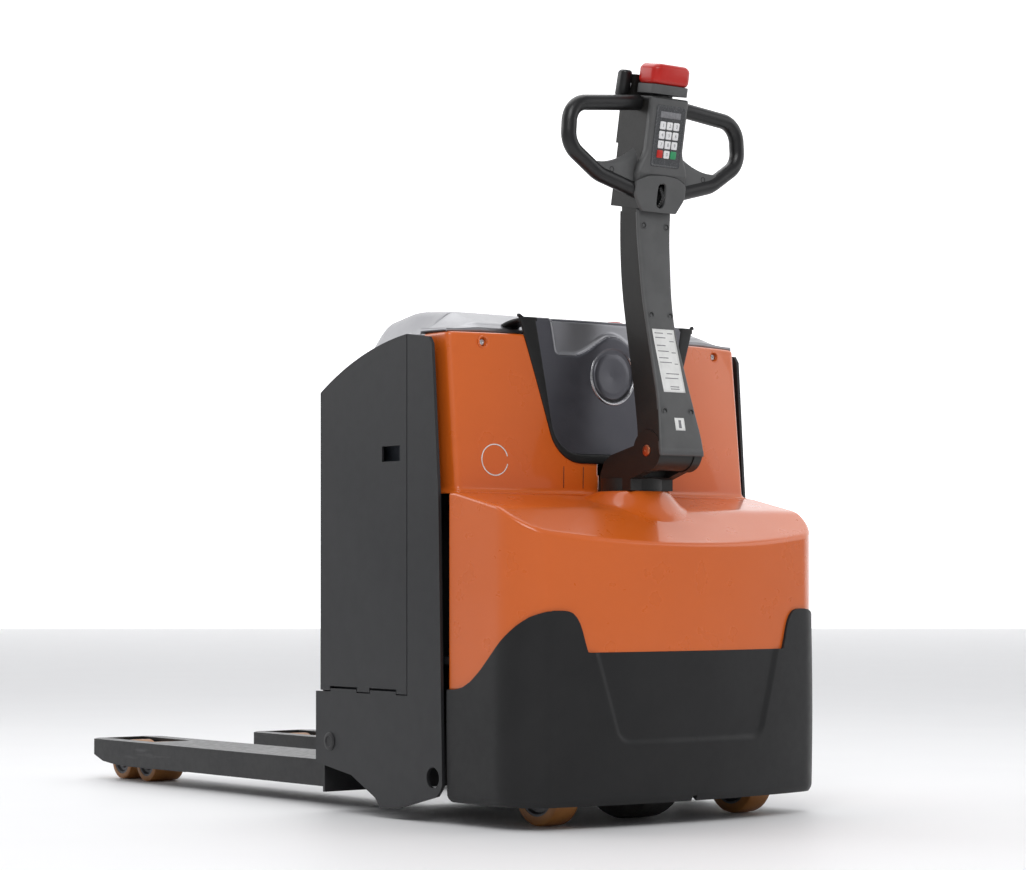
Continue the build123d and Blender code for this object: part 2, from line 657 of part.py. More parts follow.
post_low_y = box_front_y - 104.0
post_mid_y = box_front_y - 93.0
post_top_y = box_front_y - 74.0
door_front_y = box_front_y - 2.0
frame_outline = [
    (door_front_y, 851),
    (post_top_y + 8, 842),
    (post_top_y, 830),
    (post_mid_y, 565),
    (post_low_y, 68),
    (post_low_y + 4, 60),
    (post_low_y + 15, 48),
    (box_front_y + 24, 21),
    (box_front_y + 80, 18),
    (box_front_y + 95, 35),
    (fork_face_y - 99, 71),
    (fork_face_y + 14, 89),
    (fork_face_y + 14, lower_top),
    (door_front_y, lower_top),
]
tie_radius = 18.0
tie_y = box_front_y - 77.0
tie_z = 80.0
tab_spans = ((fork_face_y - 117, fork_face_y - 31), (fork_face_y - 238, fork_face_y - 155))
for name, side in (("left", -1), ("right", 1)):
    edges = sorted((side * side_inner, side * half_width))
    plate = plate_yz(frame_outline, *edges)
    plate = plate - rod_x(tie_radius, -half_width - 9, half_width + 9, tie_y, tie_z)
    inner_edges = sorted((side * (half_width - door_plate), side * half_width))
    for low, high in tab_spans:
        plate = plate + block(*inner_edges, low + 2, high - 2, lower_top - 1, lower_top + 6)
    nodes["side_frame_" + name] = plate

door_low = lower_top + panel_gap
door_rear_y = fork_face_y - 1.0
door_edge_y = door_front_y + panel_gap
grip_y = (fork_face_y - 248, fork_face_y - 194)
grip_z = (630.0, 657.0)
for name, side in (("left", -1), ("right", 1)):
    edges = sorted((side * (half_width - door_plate), side * half_width))
    top = ThreePointArc((door_edge_y, 851), ((door_edge_y + door_rear_y) / 2, 822), (door_rear_y, 762))
    outline = Wire([
        top, Line((door_rear_y, 762), (door_rear_y, door_low)),
        Line((door_rear_y, door_low), (door_edge_y, door_low)), Line((door_edge_y, door_low), (door_edge_y, 851)),
    ])
    door = Pos(edges[0], 0, 0) * extrude(Plane.YZ * make_face(outline), door_plate)
    door = door - block(edges[0] - 1, edges[1] + 1, *grip_y, *grip_z)
    for low, high in tab_spans:
        door = door - block(edges[0] - 1, edges[1] + 1, low, high, door_low - 1, door_low + 8)
    nodes["battery_door_" + name] = door

lid_wall = 4.0
lid_front_y = box_front_y + 1.0
lid_rear_y = fork_face_y - 1.0


def lid_form(inset, base):
    # a low skirt that follows the doors' top edge, with a raised dome
    skirt_points = [
        (lid_front_y + inset, base), (lid_front_y + inset, 856 - inset), (fork_face_y - 142, 830 - inset),
        (lid_rear_y - inset, 768 - inset), (lid_rear_y - inset, base),
    ]
    dome_points = [
        (lid_front_y + inset, base), (lid_front_y + inset, 898 - inset), (fork_face_y - 175, 904 - inset),
        (fork_face_y - 74, 884 - inset), (lid_rear_y - 20 - inset, 800 - inset), (lid_rear_y - 20 - inset, base),
    ]
    skirt = plate_yz(skirt_points, -side_inner + inset, side_inner - inset)
    dome = plate_yz(dome_points, -side_inner + 60 + inset, side_inner - 60 - inset)
    return skirt + dome


lid = lid_form(0, 700) - lid_form(lid_wall, 690)
lid = lid - block(-half_width, half_width, lid_front_y - 5, lid_front_y + box_plate + 1, 600, 841)
lid = lid - block(-half_width, half_width, fork_face_y - box_plate - 2, fork_face_y + 5, 600, box_rear_top + 0.3)
lid = lid - block(-half_width, half_width, lid_front_y - 5, fork_face_y + 5, 600, 745)
nodes["battery_lid"] = lid

# ---------------------------------------------------------------- forks and running gear
bogie_y = tip_y - bogie_from_tip
roller_radius = roller_diameter / 2
carrier_y = bogie_y - sqrt(carrier_length**2 - (carrier_pin_height - roller_radius) ** 2)
rest_angle = degrees(atan2(carrier_pin_height - roller_radius, bogie_y - carrier_y))
low_sine = (carrier_pin_height - roller_radius + lift_travel) / carrier_length
low_angle = degrees(atan2(low_sine, sqrt(1 - low_sine**2)))
carrier_swing = low_angle - rest_angle
link_shift = link_radius * sin(radians(carrier_swing))
print("carrier swing in degrees", carrier_swing)
print("pull rod travel", link_shift)
print("carrier pivot's place in Y", carrier_y)
bogie_half = roller_width / 2 + 1.0
bogie_plate = 5.0
carrier_inner = bogie_half + bogie_plate + 1.0
carrier_outer = carrier_inner + 8.0
window_half = carrier_inner + 2.0
window_rear_y = bogie_y - roller_spacing / 2 - roller_radius - 9.0
window_front_y = bogie_y + roller_spacing / 2 + roller_radius + 6.0
flange_half = fork_width / 2 - fork_plate
for name, side in (("left", -1), ("right", 1)):
    x = side * fork_x
    profile = [
        (fork_face_y, fork_top), (tip_y, fork_top), (tip_y, fork_top - 24), (tip_y - 16, fork_top - 30),
        (tip_y - 60, fork_bottom + 5), (tip_y - 110, fork_bottom), (fork_face_y, fork_bottom),
    ]
    blade = plate_yz(profile, x - fork_width / 2, x + fork_width / 2)
    tip_edges = blade.edges().filter_by(Axis.Z).sort_by(Axis.Y)[-2:]
    blade = chamfer(tip_edges, 24)
    channel_end = tip_y - 32.0
    channel = block(x - flange_half, x + flange_half, fork_face_y - 1, channel_end, 0, fork_top - fork_plate)
    blade = blade - channel
    blade = blade - block(x - window_half, x + window_half, window_rear_y, window_front_y, 0, fork_top + 5)
    blade = blade - rod_x(carrier_pin / 2 + running, x - 90, x + 90, carrier_y, carrier_pin_height)
    nodes["fork_" + name] = blade

    arms = []
    for low, high in ((-carrier_outer, -carrier_inner), (carrier_inner, carrier_outer)):
        arm_points = [
            (carrier_y - 14, carrier_pin_height - 8), (carrier_y - 10, carrier_pin_height + 11),
            (carrier_y + 16, carrier_pin_height + 13), (bogie_y, roller_radius + 13),
            (bogie_y + 12, roller_radius), (bogie_y, roller_radius - 12), (carrier_y + 14, 30), (carrier_y - 12, 30),
        ]
        arms.append(plate_yz(arm_points, x + low, x + high))
    shaft = rod_x(carrier_pin / 2, x - fork_width / 2, x + fork_width / 2, carrier_y, carrier_pin_height)
    link_z = carrier_pin_height - link_radius
    link = rod_x(link_pin / 2, x - carrier_outer, x + carrier_outer, carrier_y, link_z)
    carrier = arms[0] + arms[1] + shaft + link
    carrier = carrier - rod_x(bogie_pin / 2 + running, x - 90, x + 90, bogie_y, roller_radius)
    nodes["roller_carrier_" + name] = carrier

    bogie = rod_x(bogie_pin / 2, x - carrier_outer, x + carrier_outer, bogie_y, roller_radius)
    half_spacing = roller_spacing / 2
    for low, high in ((-bogie_half - bogie_plate, -bogie_half), (bogie_half, bogie_half + bogie_plate)):
        bogie = bogie + block(
            x + low, x + high, bogie_y - half_spacing - 14, bogie_y + half_spacing + 14,
            roller_radius - 12, roller_radius + 12,
        )
    for place in (-half_spacing, half_spacing):
        bogie = bogie + rod_x(roller_axle / 2, x - bogie_half, x + bogie_half, bogie_y + place, roller_radius)
    nodes["bogie_" + name] = bogie
    for end, place in (("rear", -half_spacing), ("front", half_spacing)):
        roller = rod_x(roller_radius, x - roller_width / 2, x + roller_width / 2, bogie_y + place, roller_radius)
        roller = chamfer(roller.edges(), 2)
        roller = roller - rod_x(roller_axle / 2 + running, x - 60, x + 60, bogie_y + place, roller_radius)
        nodes["roller_" + name + "_" + end] = roller

    slot_radius = link_pin / 2 + swing_gap
    pull_top = carrier_pin_height - carrier_pin / 2 - 1.0
    pull = block(x - 12, x + 12, fork_face_y - 80, carrier_y + 14, 29, pull_top)
    # the fork at the rod's end is open upward, so that the pin can rise in it as it swings
    nodes["pull_rod_" + name] = pull - block(
        x - 13, x + 13, carrier_y - slot_radius, carrier_y + slot_radius, link_z - slot_radius, pull_top + 1,
    )

for name, shape in nodes.items():
    export_step(shape, "parts/" + name + ".step")
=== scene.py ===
import bpy
import numpy as np
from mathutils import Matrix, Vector


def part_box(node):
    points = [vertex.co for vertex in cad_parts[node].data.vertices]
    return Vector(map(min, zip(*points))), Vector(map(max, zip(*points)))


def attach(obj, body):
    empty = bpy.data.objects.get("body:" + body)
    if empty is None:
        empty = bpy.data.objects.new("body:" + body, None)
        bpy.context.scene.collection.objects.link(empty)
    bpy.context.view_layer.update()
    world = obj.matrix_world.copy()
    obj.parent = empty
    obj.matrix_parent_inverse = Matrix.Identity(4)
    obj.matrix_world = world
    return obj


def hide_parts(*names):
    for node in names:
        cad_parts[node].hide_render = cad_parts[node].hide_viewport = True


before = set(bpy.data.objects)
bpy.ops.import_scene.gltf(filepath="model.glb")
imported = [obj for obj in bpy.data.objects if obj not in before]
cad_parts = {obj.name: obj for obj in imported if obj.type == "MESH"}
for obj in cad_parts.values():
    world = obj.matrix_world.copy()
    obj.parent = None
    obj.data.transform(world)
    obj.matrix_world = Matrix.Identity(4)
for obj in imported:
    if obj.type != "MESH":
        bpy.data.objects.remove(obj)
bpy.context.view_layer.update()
print("frame loaded")

mm = 0.001
tau = 2 * np.pi


def boxMm(node):
    low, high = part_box(node)     # the node's corners, turned into millimetres
    return np.array(low) / mm, np.array(high) / mm


def middle(node):
    low, high = boxMm(node)
    return (low + high) / 2, high - low


def withoutSide(node):
    return node.split("_left")[0].split("_right")[0]


noseY = boxMm("bumper_skirt")[0][1]
halfWidth = -boxMm("side_frame_left")[0][0]
boxFrontY = boxMm("battery_door_left")[0][1]
forkFaceY = boxMm("battery_door_left")[1][1] + 1
steerY = middle("drive_tyre")[0][1]
pivotY, pivotZ = middle("pivot_pin")[0][1:]
armTop = boxMm("tiller_arm")[1][2]


# ---- mesh makers
def smoothStep(low, high, value):
    t = np.clip((value - low) / (high - low), 0, 1)     # 3t^2 - 2t^3, from 0 at low to 1 at high
    return t * t * (3 - 2 * t)


def addWall(obj, thickness):
    solid = obj.modifiers.new("wall", "SOLIDIFY")
    solid.thickness = thickness * mm
    solid.offset = -1


def addBevel(obj, name, width, segments=2, angle=40, harden=True):
    edge = obj.modifiers.new(name, "BEVEL")
    edge.width = width * mm
    edge.segments = segments
    edge.limit_method = "ANGLE"
    edge.angle_limit = np.radians(angle)
    edge.harden_normals = harden


def addObject(name, verts, faces, finish, body, replaced=(), smooth=True):
    mesh = bpy.data.meshes.new(name)
    mesh.from_pydata((np.asarray(verts, float) * mm).tolist(), [], [list(map(int, f)) for f in faces])
    mesh.validate()
    mesh.polygons.foreach_set("use_smooth", [smooth] * len(mesh.polygons))
    obj = bpy.data.objects.new(name, mesh)
    bpy.context.scene.collection.objects.link(obj)
    obj.data.materials.append(materials[finish])
    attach(obj, body)
    if replaced:
        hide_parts(*replaced)
    return obj


def gridFaces(rows, cols, wrap=False, keep=None):
    # quads of a grid of rows by cols points, closed round the columns where wrap is set
    r, c = np.meshgrid(np.arange(rows - 1), np.arange(cols if wrap else cols - 1), indexing="ij")
    nextC = (c + 1) % cols
    quads = np.stack([r * cols + c, r * cols + nextC, (r + 1) * cols + nextC, (r + 1) * cols + c], -1)
    quads = quads.reshape(-1, 4)
    return quads if keep is None else quads[keep(quads)]


def orient(points, faces, outward):
    # flips the faces where their normals, added up, point against outward
    p = points[faces]
    normal = np.cross(p[:, 2] - p[:, 0], p[:, 3] - p[:, 1])
    if callable(outward):
        agree = (normal * outward(p.mean(1))).sum()
    else:
        agree = (normal * (p.mean(1) - np.asarray(outward))).sum()
    return faces if agree > 0 else faces[:, ::-1]


def sheetPiece(name, grid, finish, body, outward, wall=0.0, replaced=(), keep=None):
    # an open surface over a grid, given a wall behind its visible side
    rows, cols = grid.shape[:2]
    points = grid.reshape(-1, 3)
    faces = orient(points, gridFaces(rows, cols, keep=keep), outward)
    obj = addObject(name, points, faces, finish, body, replaced)
    if wall:
        addWall(obj, wall)
    return obj


def loftPiece(name, rings, finish, body, replaced=()):
    # closed rings joined one to the next, with a fan of triangles over each end
    rows, cols = rings.shape[:2]
    points = rings.reshape(-1, 3)
    faces = orient(points, gridFaces(rows, cols, wrap=True), points.mean(0))
    flipped = faces[0][1] != 1
    c = np.arange(cols)
    fans = []
    for end, start in enumerate((0, (rows - 1) * cols)):
        a, b = start + c, start + (c + 1) % cols
        centre = np.full(cols, rows * cols + end)
        fans += np.stack([b, a, centre] if (end == 0) != flipped else [a, b, centre], -1).tolist()
    allPoints = np.vstack([points, rings[0].mean(0), rings[-1].mean(0)])
    return addObject(name, allPoints, faces.tolist() + fans, finish, body, replaced)


def roundedRect(halfA, halfB, radius, count=8):
    # a ring of points round a rectangle whose corners are quarter circles, in two axes
    angles = np.linspace(0, tau / 4, count)
    ring = []
    for quarter, (sa, sb) in enumerate(((1, 1), (-1, 1), (-1, -1), (1, -1))):
        turn = angles + quarter * tau / 4
        ring.append(np.stack([
            sa * (halfA - radius) + radius * np.cos(turn), sb * (halfB - radius) + radius * np.sin(turn),
        ], -1))
    return np.vstack(ring)


def blockRings(half, radius, corner, steps=6):
    # rings up a rounded box: each ring shrinks near the ends along a quarter circle
    hx, hy, hz = half
    angle = np.linspace(-tau / 4, tau / 4, 2 * steps)
    height = np.where(angle < 0, -hz + radius, hz - radius) + radius * np.sin(angle)
    shrink = radius * (1 - np.cos(angle))
    rings = []
    for z, s in zip(height, shrink):
        ring = roundedRect(hx - s, hy - s, max(corner - s, 0.3))
        rings.append(np.column_stack([ring, np.full(len(ring), z)]))
    return np.array(rings)


def placed(points, centre=(0, 0, 0), tilt=0.0):
    # turns points about X by tilt degrees, then moves them
    a = np.radians(tilt)
    turn = np.array([[1, 0, 0], [0, np.cos(a), -np.sin(a)], [0, np.sin(a), np.cos(a)]])
    return points @ turn.T + np.asarray(centre, float)


def tubeRings(path, radius, cols=24):
    # circles of a radius, or one radius for each point, square to a path
    path = np.asarray(path, float)
    along = np.gradient(path, axis=0)
    along /= np.linalg.norm(along, axis=1)[:, None]
    side = np.cross(along, (0.123, 0.3, 0.95))
    side /= np.linalg.norm(side, axis=1)[:, None]
    other = np.cross(along, side)
    angle = np.linspace(0, tau, cols, endpoint=False)
    size = np.broadcast_to(np.asarray(radius, float), len(path))[:, None, None]
    return path[:, None] + size * (
        np.cos(angle)[None, :, None] * side[:, None] + np.sin(angle)[None, :, None] * other[:, None]
    )


def roundPath(points, radii, step=3.0):
    # straight runs joined by arcs tangent to both, sampled about every step
    points = [np.asarray(p, float) for p in points]
    out = [points[0]]
    for before, corner, after, radius in zip(points, points[1:], points[2:], radii):
        a = (before - corner) / np.linalg.norm(before - corner)
        b = (after - corner) / np.linalg.norm(after - corner)
        half = np.arccos(np.clip(a @ b, -1, 1)) / 2
        reach = radius / np.tan(half)
        centre = corner + (a + b) / np.linalg.norm(a + b) * radius / np.sin(half)
        start, end = corner + a * reach - centre, corner + b * reach - centre
        sweep = np.pi - 2 * half
        count = max(int(radius * sweep / step), 4)
        for t in np.linspace(0, 1, count):
            w = np.sin(np.array([(1 - t), t]) * sweep) / np.sin(sweep)
            out.append(centre + w[0] * start + w[1] * end)
    out.append(points[-1])
    out = np.array(out)
    length = np.concatenate([[0], np.cumsum(np.linalg.norm(np.diff(out, axis=0), axis=1))])
    even = np.linspace(0, length[-1], int(length[-1] / step) + 2)
    return np.stack([np.interp(even, length, out[:, k]) for k in range(3)], -1)


def lathePiece(name, profile, centre, finish, body, replaced=(), cols=64, axis="x"):
    # a profile of (along, radius) points turned round an axis; the profile closes on itself
    profile = np.asarray(profile, float)
    angle = np.linspace(0, tau, cols, endpoint=False)
    along = np.repeat(profile[:, :1], cols, 1)
    a = profile[:, 1:] * np.cos(angle)
    b = profile[:, 1:] * np.sin(angle)
    order = {"x": (along, a, b), "y": (a, along, b), "z": (a, b, along)}[axis]
    rings = np.stack(order, -1) + np.asarray(centre, float)
    rows = len(profile)
    quads = gridFaces(rows + 1, cols, wrap=True) % (rows * cols)
    run, off = np.roll(profile, -1, 0) - profile, profile - profile.mean(0)
    turn = (run[:, 0] * off[:, 1] - run[:, 1] * off[:, 0]).sum()
    quads = quads if (turn > 0) == (axis != "y") else quads[:, ::-1]
    obj = addObject(name, rings.reshape(-1, 3), quads, finish, body, replaced)
    addBevel(obj, "creases", 0.5)


# ---- materials
def newMaterial(name, colour, roughness, metallic=0.0, coat=0.0, coatRoughness=0.05, specular=0.5):
    material = bpy.data.materials.new(name)
    material.use_nodes = True
    tree = material.node_tree
    shader = tree.nodes["Principled BSDF"]
    shader.inputs["Base Color"].default_value = (*colour, 1)
    shader.inputs["Roughness"].default_value = roughness
    shader.inputs["Metallic"].default_value = metallic
    shader.inputs["Coat Weight"].default_value = coat
    shader.inputs["Specular IOR Level"].default_value = specular
    shader.inputs["Coat Roughness"].default_value = coatRoughness
    return material, tree, shader


def objectNoise(tree, scale, detail=4.0, stretch=None, kind="ShaderNodeTexNoise"):
    place = tree.nodes.new("ShaderNodeTexCoord").outputs["Object"]
    if stretch:
        mapping = tree.nodes.new("ShaderNodeMapping")
        mapping.inputs["Scale"].default_value = stretch
        tree.links.new(place, mapping.inputs["Vector"])
        place = mapping.outputs["Vector"]
    noise = tree.nodes.new(kind)
    noise.inputs["Scale"].default_value = scale
    if kind == "ShaderNodeTexNoise":
        noise.inputs["Detail"].default_value = detail
    tree.links.new(place, noise.inputs["Vector"])
    return noise.outputs["Fac"] if kind == "ShaderNodeTexNoise" else noise.outputs["Distance"]


def ramp(tree, source, stops):
    node = tree.nodes.new("ShaderNodeValToRGB")
    while len(node.color_ramp.elements) < len(stops):
        node.color_ramp.elements.new(0.5)
    for element, (place, value) in zip(node.color_ramp.elements, stops):
        element.position = place
        colour = (value,) * 3 if np.isscalar(value) else value
        element.color = (*colour, 1)
    tree.links.new(source, node.inputs["Fac"])
    return node.outputs["Color"]


def addBump(tree, shader, source, strength, distance):
    bump = tree.nodes.new("ShaderNodeBump")
    bump.inputs["Strength"].default_value = strength
    bump.inputs["Distance"].default_value = distance
    tree.links.new(source, bump.inputs["Height"])
    chained = shader.inputs["Normal"].links
    if chained:
        tree.links.new(chained[0].from_socket, bump.inputs["Normal"])
    tree.links.new(bump.outputs["Normal"], shader.inputs["Normal"])


def mixColours(tree, factor, a, b):
    mix = tree.nodes.new("ShaderNodeMix")
    mix.data_type = "RGBA"
    tree.links.new(factor, mix.inputs["Factor"])
    for value, socket in ((a, mix.inputs[6]), (b, mix.inputs[7])):
        if isinstance(value, tuple):
            socket.default_value = (*value, 1)
        else:
            tree.links.new(value, socket)
    return mix.outputs[2]


finishes = {
    "orangePaint": dict(
        colour=(0.66, 0.125, 0.012), second=(0.63, 0.117, 0.011), rough=(0.26, 0.32),
        scale=2.5, coat=0.45, coatRoughness=0.05, grain=(900, 0.00002, 0.05),
    ),
    "skirtPlastic": dict(
        colour=(0.010, 0.010, 0.0105), second=(0.013, 0.013, 0.0135), rough=(0.44, 0.52), specular=0.32,
        scale=9, grain=(1400, 0.00006, 0.25),
    ),
    "trimPlastic": dict(
        colour=(0.007, 0.007, 0.007), second=(0.010, 0.010, 0.010), rough=(0.45, 0.55), specular=0.35,
        scale=20, grain=(1600, 0.00005, 0.2),
    ),
    "panelPaint": dict(
        colour=(0.085, 0.085, 0.10), second=(0.10, 0.10, 0.115), rough=(0.34, 0.42), metallic=0.75,
        scale=10, coat=0.5, coatRoughness=0.2, grain=(3000, 0.00001, 0.12),
    ),
    "scoopSilver": dict(
        colour=(0.34, 0.34, 0.36), second=(0.36, 0.36, 0.38), rough=(0.30, 0.36), metallic=0.85,
        scale=10, coat=0.4, coatRoughness=0.2, grain=(3000, 0.00001, 0.12),
    ),
    "lidPaint": dict(
        colour=(0.30, 0.30, 0.315), second=(0.32, 0.32, 0.335), rough=(0.36, 0.42), metallic=0.75,
        scale=8, coat=0.4, coatRoughness=0.2, grain=(2600, 0.00001, 0.12),
    ),
    "plateCoat": dict(
        colour=(0.016, 0.0165, 0.018), second=(0.019, 0.0195, 0.021), rough=(0.40, 0.48), specular=0.4,
        scale=5, grain=(420, 0.00022, 0.55),
    ),
    "forkPaint": dict(
        colour=(0.008, 0.008, 0.009), second=(0.013, 0.013, 0.013), rough=(0.34, 0.46), specular=0.4,
        scale=12, grain=(700, 0.00008, 0.25), scuff=0.35,
    ),
    "frameSteel": dict(
        colour=(0.016, 0.016, 0.017), second=(0.020, 0.020, 0.021), rough=(0.42, 0.52), specular=0.4,
        scale=14, grain=(500, 0.0001, 0.3),
    ),
    "tillerGrey": dict(
        colour=(0.078, 0.079, 0.079), second=(0.090, 0.091, 0.091), rough=(0.45, 0.54), specular=0.4,
        scale=30, grain=(2600, 0.00005, 0.35),
    ),
    "tillerDark": dict(
        colour=(0.011, 0.0105, 0.0095), second=(0.014, 0.0135, 0.012), rough=(0.38, 0.46), specular=0.4,
        scale=25, grain=(1800, 0.00005, 0.25),
    ),
    "gripBlack": dict(
        colour=(0.007, 0.007, 0.0075), second=(0.010, 0.010, 0.010), rough=(0.30, 0.38), specular=0.45,
        scale=40, grain=(2400, 0.00005, 0.25),
    ),
    "signalRed": dict(
        colour=(0.50, 0.014, 0.008), second=(0.46, 0.012, 0.007), rough=(0.28, 0.34), specular=0.4,
        scale=18, coat=0.15, coatRoughness=0.1, grain=(1500, 0.00001, 0.08),
    ),
    "wheelBrown": dict(
        colour=(0.36, 0.15, 0.035), second=(0.28, 0.11, 0.025), rough=(0.35, 0.55),
        scale=25, grain=(600, 0.00008, 0.3),
    ),
    "tyreRubber": dict(
        colour=(0.014, 0.014, 0.014), second=(0.028, 0.027, 0.025), rough=(0.6, 0.8),
        scale=30, grain=(900, 0.0001, 0.4),
    ),
    "brightSteel": dict(
        colour=(0.62, 0.62, 0.63), second=(0.5, 0.5, 0.52), rough=(0.22, 0.38), metallic=1.0,
        scale=60, grain=(800, 0.00003, 0.2),
    ),
    "castMetal": dict(
        colour=(0.16, 0.16, 0.165), second=(0.11, 0.11, 0.115), rough=(0.45, 0.65), metallic=0.8,
        scale=40, grain=(500, 0.0002, 0.5),
    ),
    "copperPin": dict(
        colour=(0.62, 0.23, 0.11), second=(0.45, 0.17, 0.09), rough=(0.25, 0.4), metallic=1.0,
        scale=120, grain=(900, 0.00003, 0.2),
    ),
    "labelWhite": dict(
        colour=(0.78, 0.78, 0.76), second=(0.70, 0.70, 0.68), rough=(0.3, 0.4),
        scale=60, grain=(1500, 0.00001, 0.1),
    ),
    "labelInk": dict(
        colour=(0.16, 0.16, 0.17), second=(0.22, 0.22, 0.23), rough=(0.45, 0.55),
        scale=400, grain=(2500, 0.00001, 0.1),
    ),
    "keyWhite": dict(
        colour=(0.80, 0.80, 0.80), second=(0.72, 0.72, 0.73), rough=(0.3, 0.4),
        scale=100, grain=(2000, 0.00001, 0.1),
    ),
    "keyGreen": dict(
        colour=(0.03, 0.30, 0.12), second=(0.025, 0.25, 0.10), rough=(0.3, 0.4),
        scale=100, grain=(2000, 0.00001, 0.1),
    ),
    "keypadFilm": dict(
        colour=(0.050, 0.052, 0.055), second=(0.06, 0.062, 0.066), rough=(0.22, 0.3),
        scale=50, grain=(1800, 0.00001, 0.1),
    ),
    "batteryCase": dict(
        colour=(0.03, 0.035, 0.045), second=(0.045, 0.05, 0.06), rough=(0.4, 0.6),
        scale=20, grain=(700, 0.0001, 0.3),
    ),
}


def makeFinish(name, spec):
    # two close tones and a roughness that drift over the piece, a fine grain bump, and scuffs where it says
    material, tree, shader = newMaterial(
        name, spec["colour"], spec["rough"][0], spec.get("metallic", 0.0),
        spec.get("coat", 0.0), spec.get("coatRoughness", 0.05), spec.get("specular", 0.5),
    )
    drift = objectNoise(tree, spec["scale"], 3.0)
    patches = ramp(tree, drift, [(0.35, 0.0), (0.65, 1.0)])
    colour = mixColours(tree, patches, spec["colour"], spec["second"])
    if "scuff" in spec:
        streaks = objectNoise(tree, 55, 6.0, stretch=(1, 0.12, 1))
        rub = ramp(tree, streaks, [(0.62, 0.0), (0.74, spec["scuff"])])
        colour = mixColours(tree, rub, colour, (0.11, 0.11, 0.11))
    tree.links.new(colour, shader.inputs["Base Color"])
    low, high = spec["rough"]
    cloud = objectNoise(tree, spec["scale"] * 7, 5.0)
    tree.links.new(ramp(tree, cloud, [(0.3, low), (0.7, high)]), shader.inputs["Roughness"])
    size, depth, strength = spec["grain"]
    addBump(tree, shader, objectNoise(tree, size, 2.0), strength, depth)
    return material


materials = {name: makeFinish(name, spec) for name, spec in finishes.items()}
print("materials made")

# ---- carried-over solids: a finish for each, by its name without a side
nodeFinish = dict(
    base_frame="frameSteel", lower_cowl="orangePaint", upper_hood="orangePaint",
    bumper_skirt="skirtPlastic", hood_trim="trimPlastic", centre_panel="panelPaint",
    roundel_badge="panelPaint", hood_screws="brightSteel", top_cover="lidPaint",
    guide_rails="brightSteel", bearing_outer_ring="castMetal", lift_cylinder="castMetal",
    power_pack="castMetal", motor_controller="batteryCase", bearing_inner_ring="castMetal",
    drive_housing="castMetal", traction_motor="tyreRubber", tiller_bracket="tillerDark",
    pivot_pin="copperPin", drive_hub="castMetal", drive_tyre="tyreRubber", tiller_arm="tillerDark",
    arm_cover="tillerGrey", arm_screws="brightSteel", head_body="tillerDark", head_cover="tillerGrey",
    hub_cover="tillerGrey", keypad="keypadFilm", handle_loop="gripBlack", belly_button="signalRed",
    throttle_rocker="gripBlack", lift_button="gripBlack", lower_button="gripBlack",
    horn_button="gripBlack", estop_button="signalRed", castor_fork="frameSteel",
    castor_wheel="wheelBrown", battery_box="frameSteel", lift_rod="brightSteel", battery="batteryCase",
    side_frame="plateCoat", fork="forkPaint", battery_door="plateCoat", battery_lid="lidPaint",
    roller_carrier="forkPaint", bogie="frameSteel", pull_rod="frameSteel", roller="wheelBrown",
)
for node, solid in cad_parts.items():
    solid.data.materials.clear()
    solid.data.materials.append(materials[nodeFinish[withoutSide(node)]])


# ---- camera, floor and lights
camera = dict(place=(-3.18626, -4.35237, 0.42448), heading=-38.14, lens=96.71, shift=0.1395)


def addCamera():
    data = bpy.data.cameras.new("camera")
    data.lens = camera["lens"]
    data.sensor_width = 36
    data.shift_y = camera["shift"]
    data.clip_end = 60
    obj = bpy.data.objects.new("camera", data)
    obj.location = camera["place"]
    obj.rotation_euler = (np.pi / 2, 0, np.radians(camera["heading"]))
    bpy.context.scene.collection.objects.link(obj)
    bpy.context.scene.camera = obj


def addLight(name, place, target, size, power, tone=(1, 1, 1), height=None):
    data = bpy.data.lights.new(name, "AREA")
    data.energy = power
    data.color = tone
    data.size = size
    if height:
        data.shape = "RECTANGLE"
        data.size_y = height
    obj = bpy.data.objects.new(name, data)
    obj.location = place
    aim = Vector(target) - Vector(place)
    obj.rotation_euler = aim.to_track_quat("-Z", "Y").to_euler()
    bpy.context.scene.collection.objects.link(obj)
    obj.visible_camera = False
    return obj


def addStage():
    mesh = bpy.data.meshes.new("floor")
    corners = [(-40, -40, 0), (40, -40, 0), (40, 40, 0), (-40, 40, 0)]
    mesh.from_pydata(corners, [], [(0, 1, 2, 3)])
    floor = bpy.data.objects.new("floor", mesh)
    bpy.context.scene.collection.objects.link(floor)
    material, tree, shader = newMaterial("floorSheet", (0.86, 0.86, 0.86), 0.55)
    speckle = objectNoise(tree, 3, 3.0)
    colour = mixColours(tree, speckle, (0.87, 0.87, 0.87), (0.84, 0.84, 0.845))
    tree.links.new(colour, shader.inputs["Base Color"])
    floor.data.materials.append(material)
    # a bright sheet far behind the truck
    sheet = bpy.data.meshes.new("backSheet")
    sheet.from_pydata([(-40, 0, -6), (40, 0, -6), (40, 0, 30), (-40, 0, 30)], [], [(0, 1, 2, 3)])
    back = bpy.data.objects.new("backSheet", sheet)
    back.location = (11.0, 14.0, 0)
    back.rotation_euler = (0, 0, np.radians(camera["heading"]))
    bpy.context.scene.collection.objects.link(back)
    glow, _, glowShader = newMaterial("backGlow", (0.9, 0.9, 0.9), 0.9)
    glowShader.inputs["Emission Color"].default_value = (1, 1, 1, 1)
    glowShader.inputs["Emission Strength"].default_value = 0.92
    back.data.materials.append(glow)
    world = bpy.data.worlds.new("studio")
    world.use_nodes = True
    world.node_tree.nodes["Background"].inputs["Color"].default_value = (0.95, 0.96, 1.0, 1)
    world.node_tree.nodes["Background"].inputs["Strength"].default_value = 0.42
    bpy.context.scene.world = world


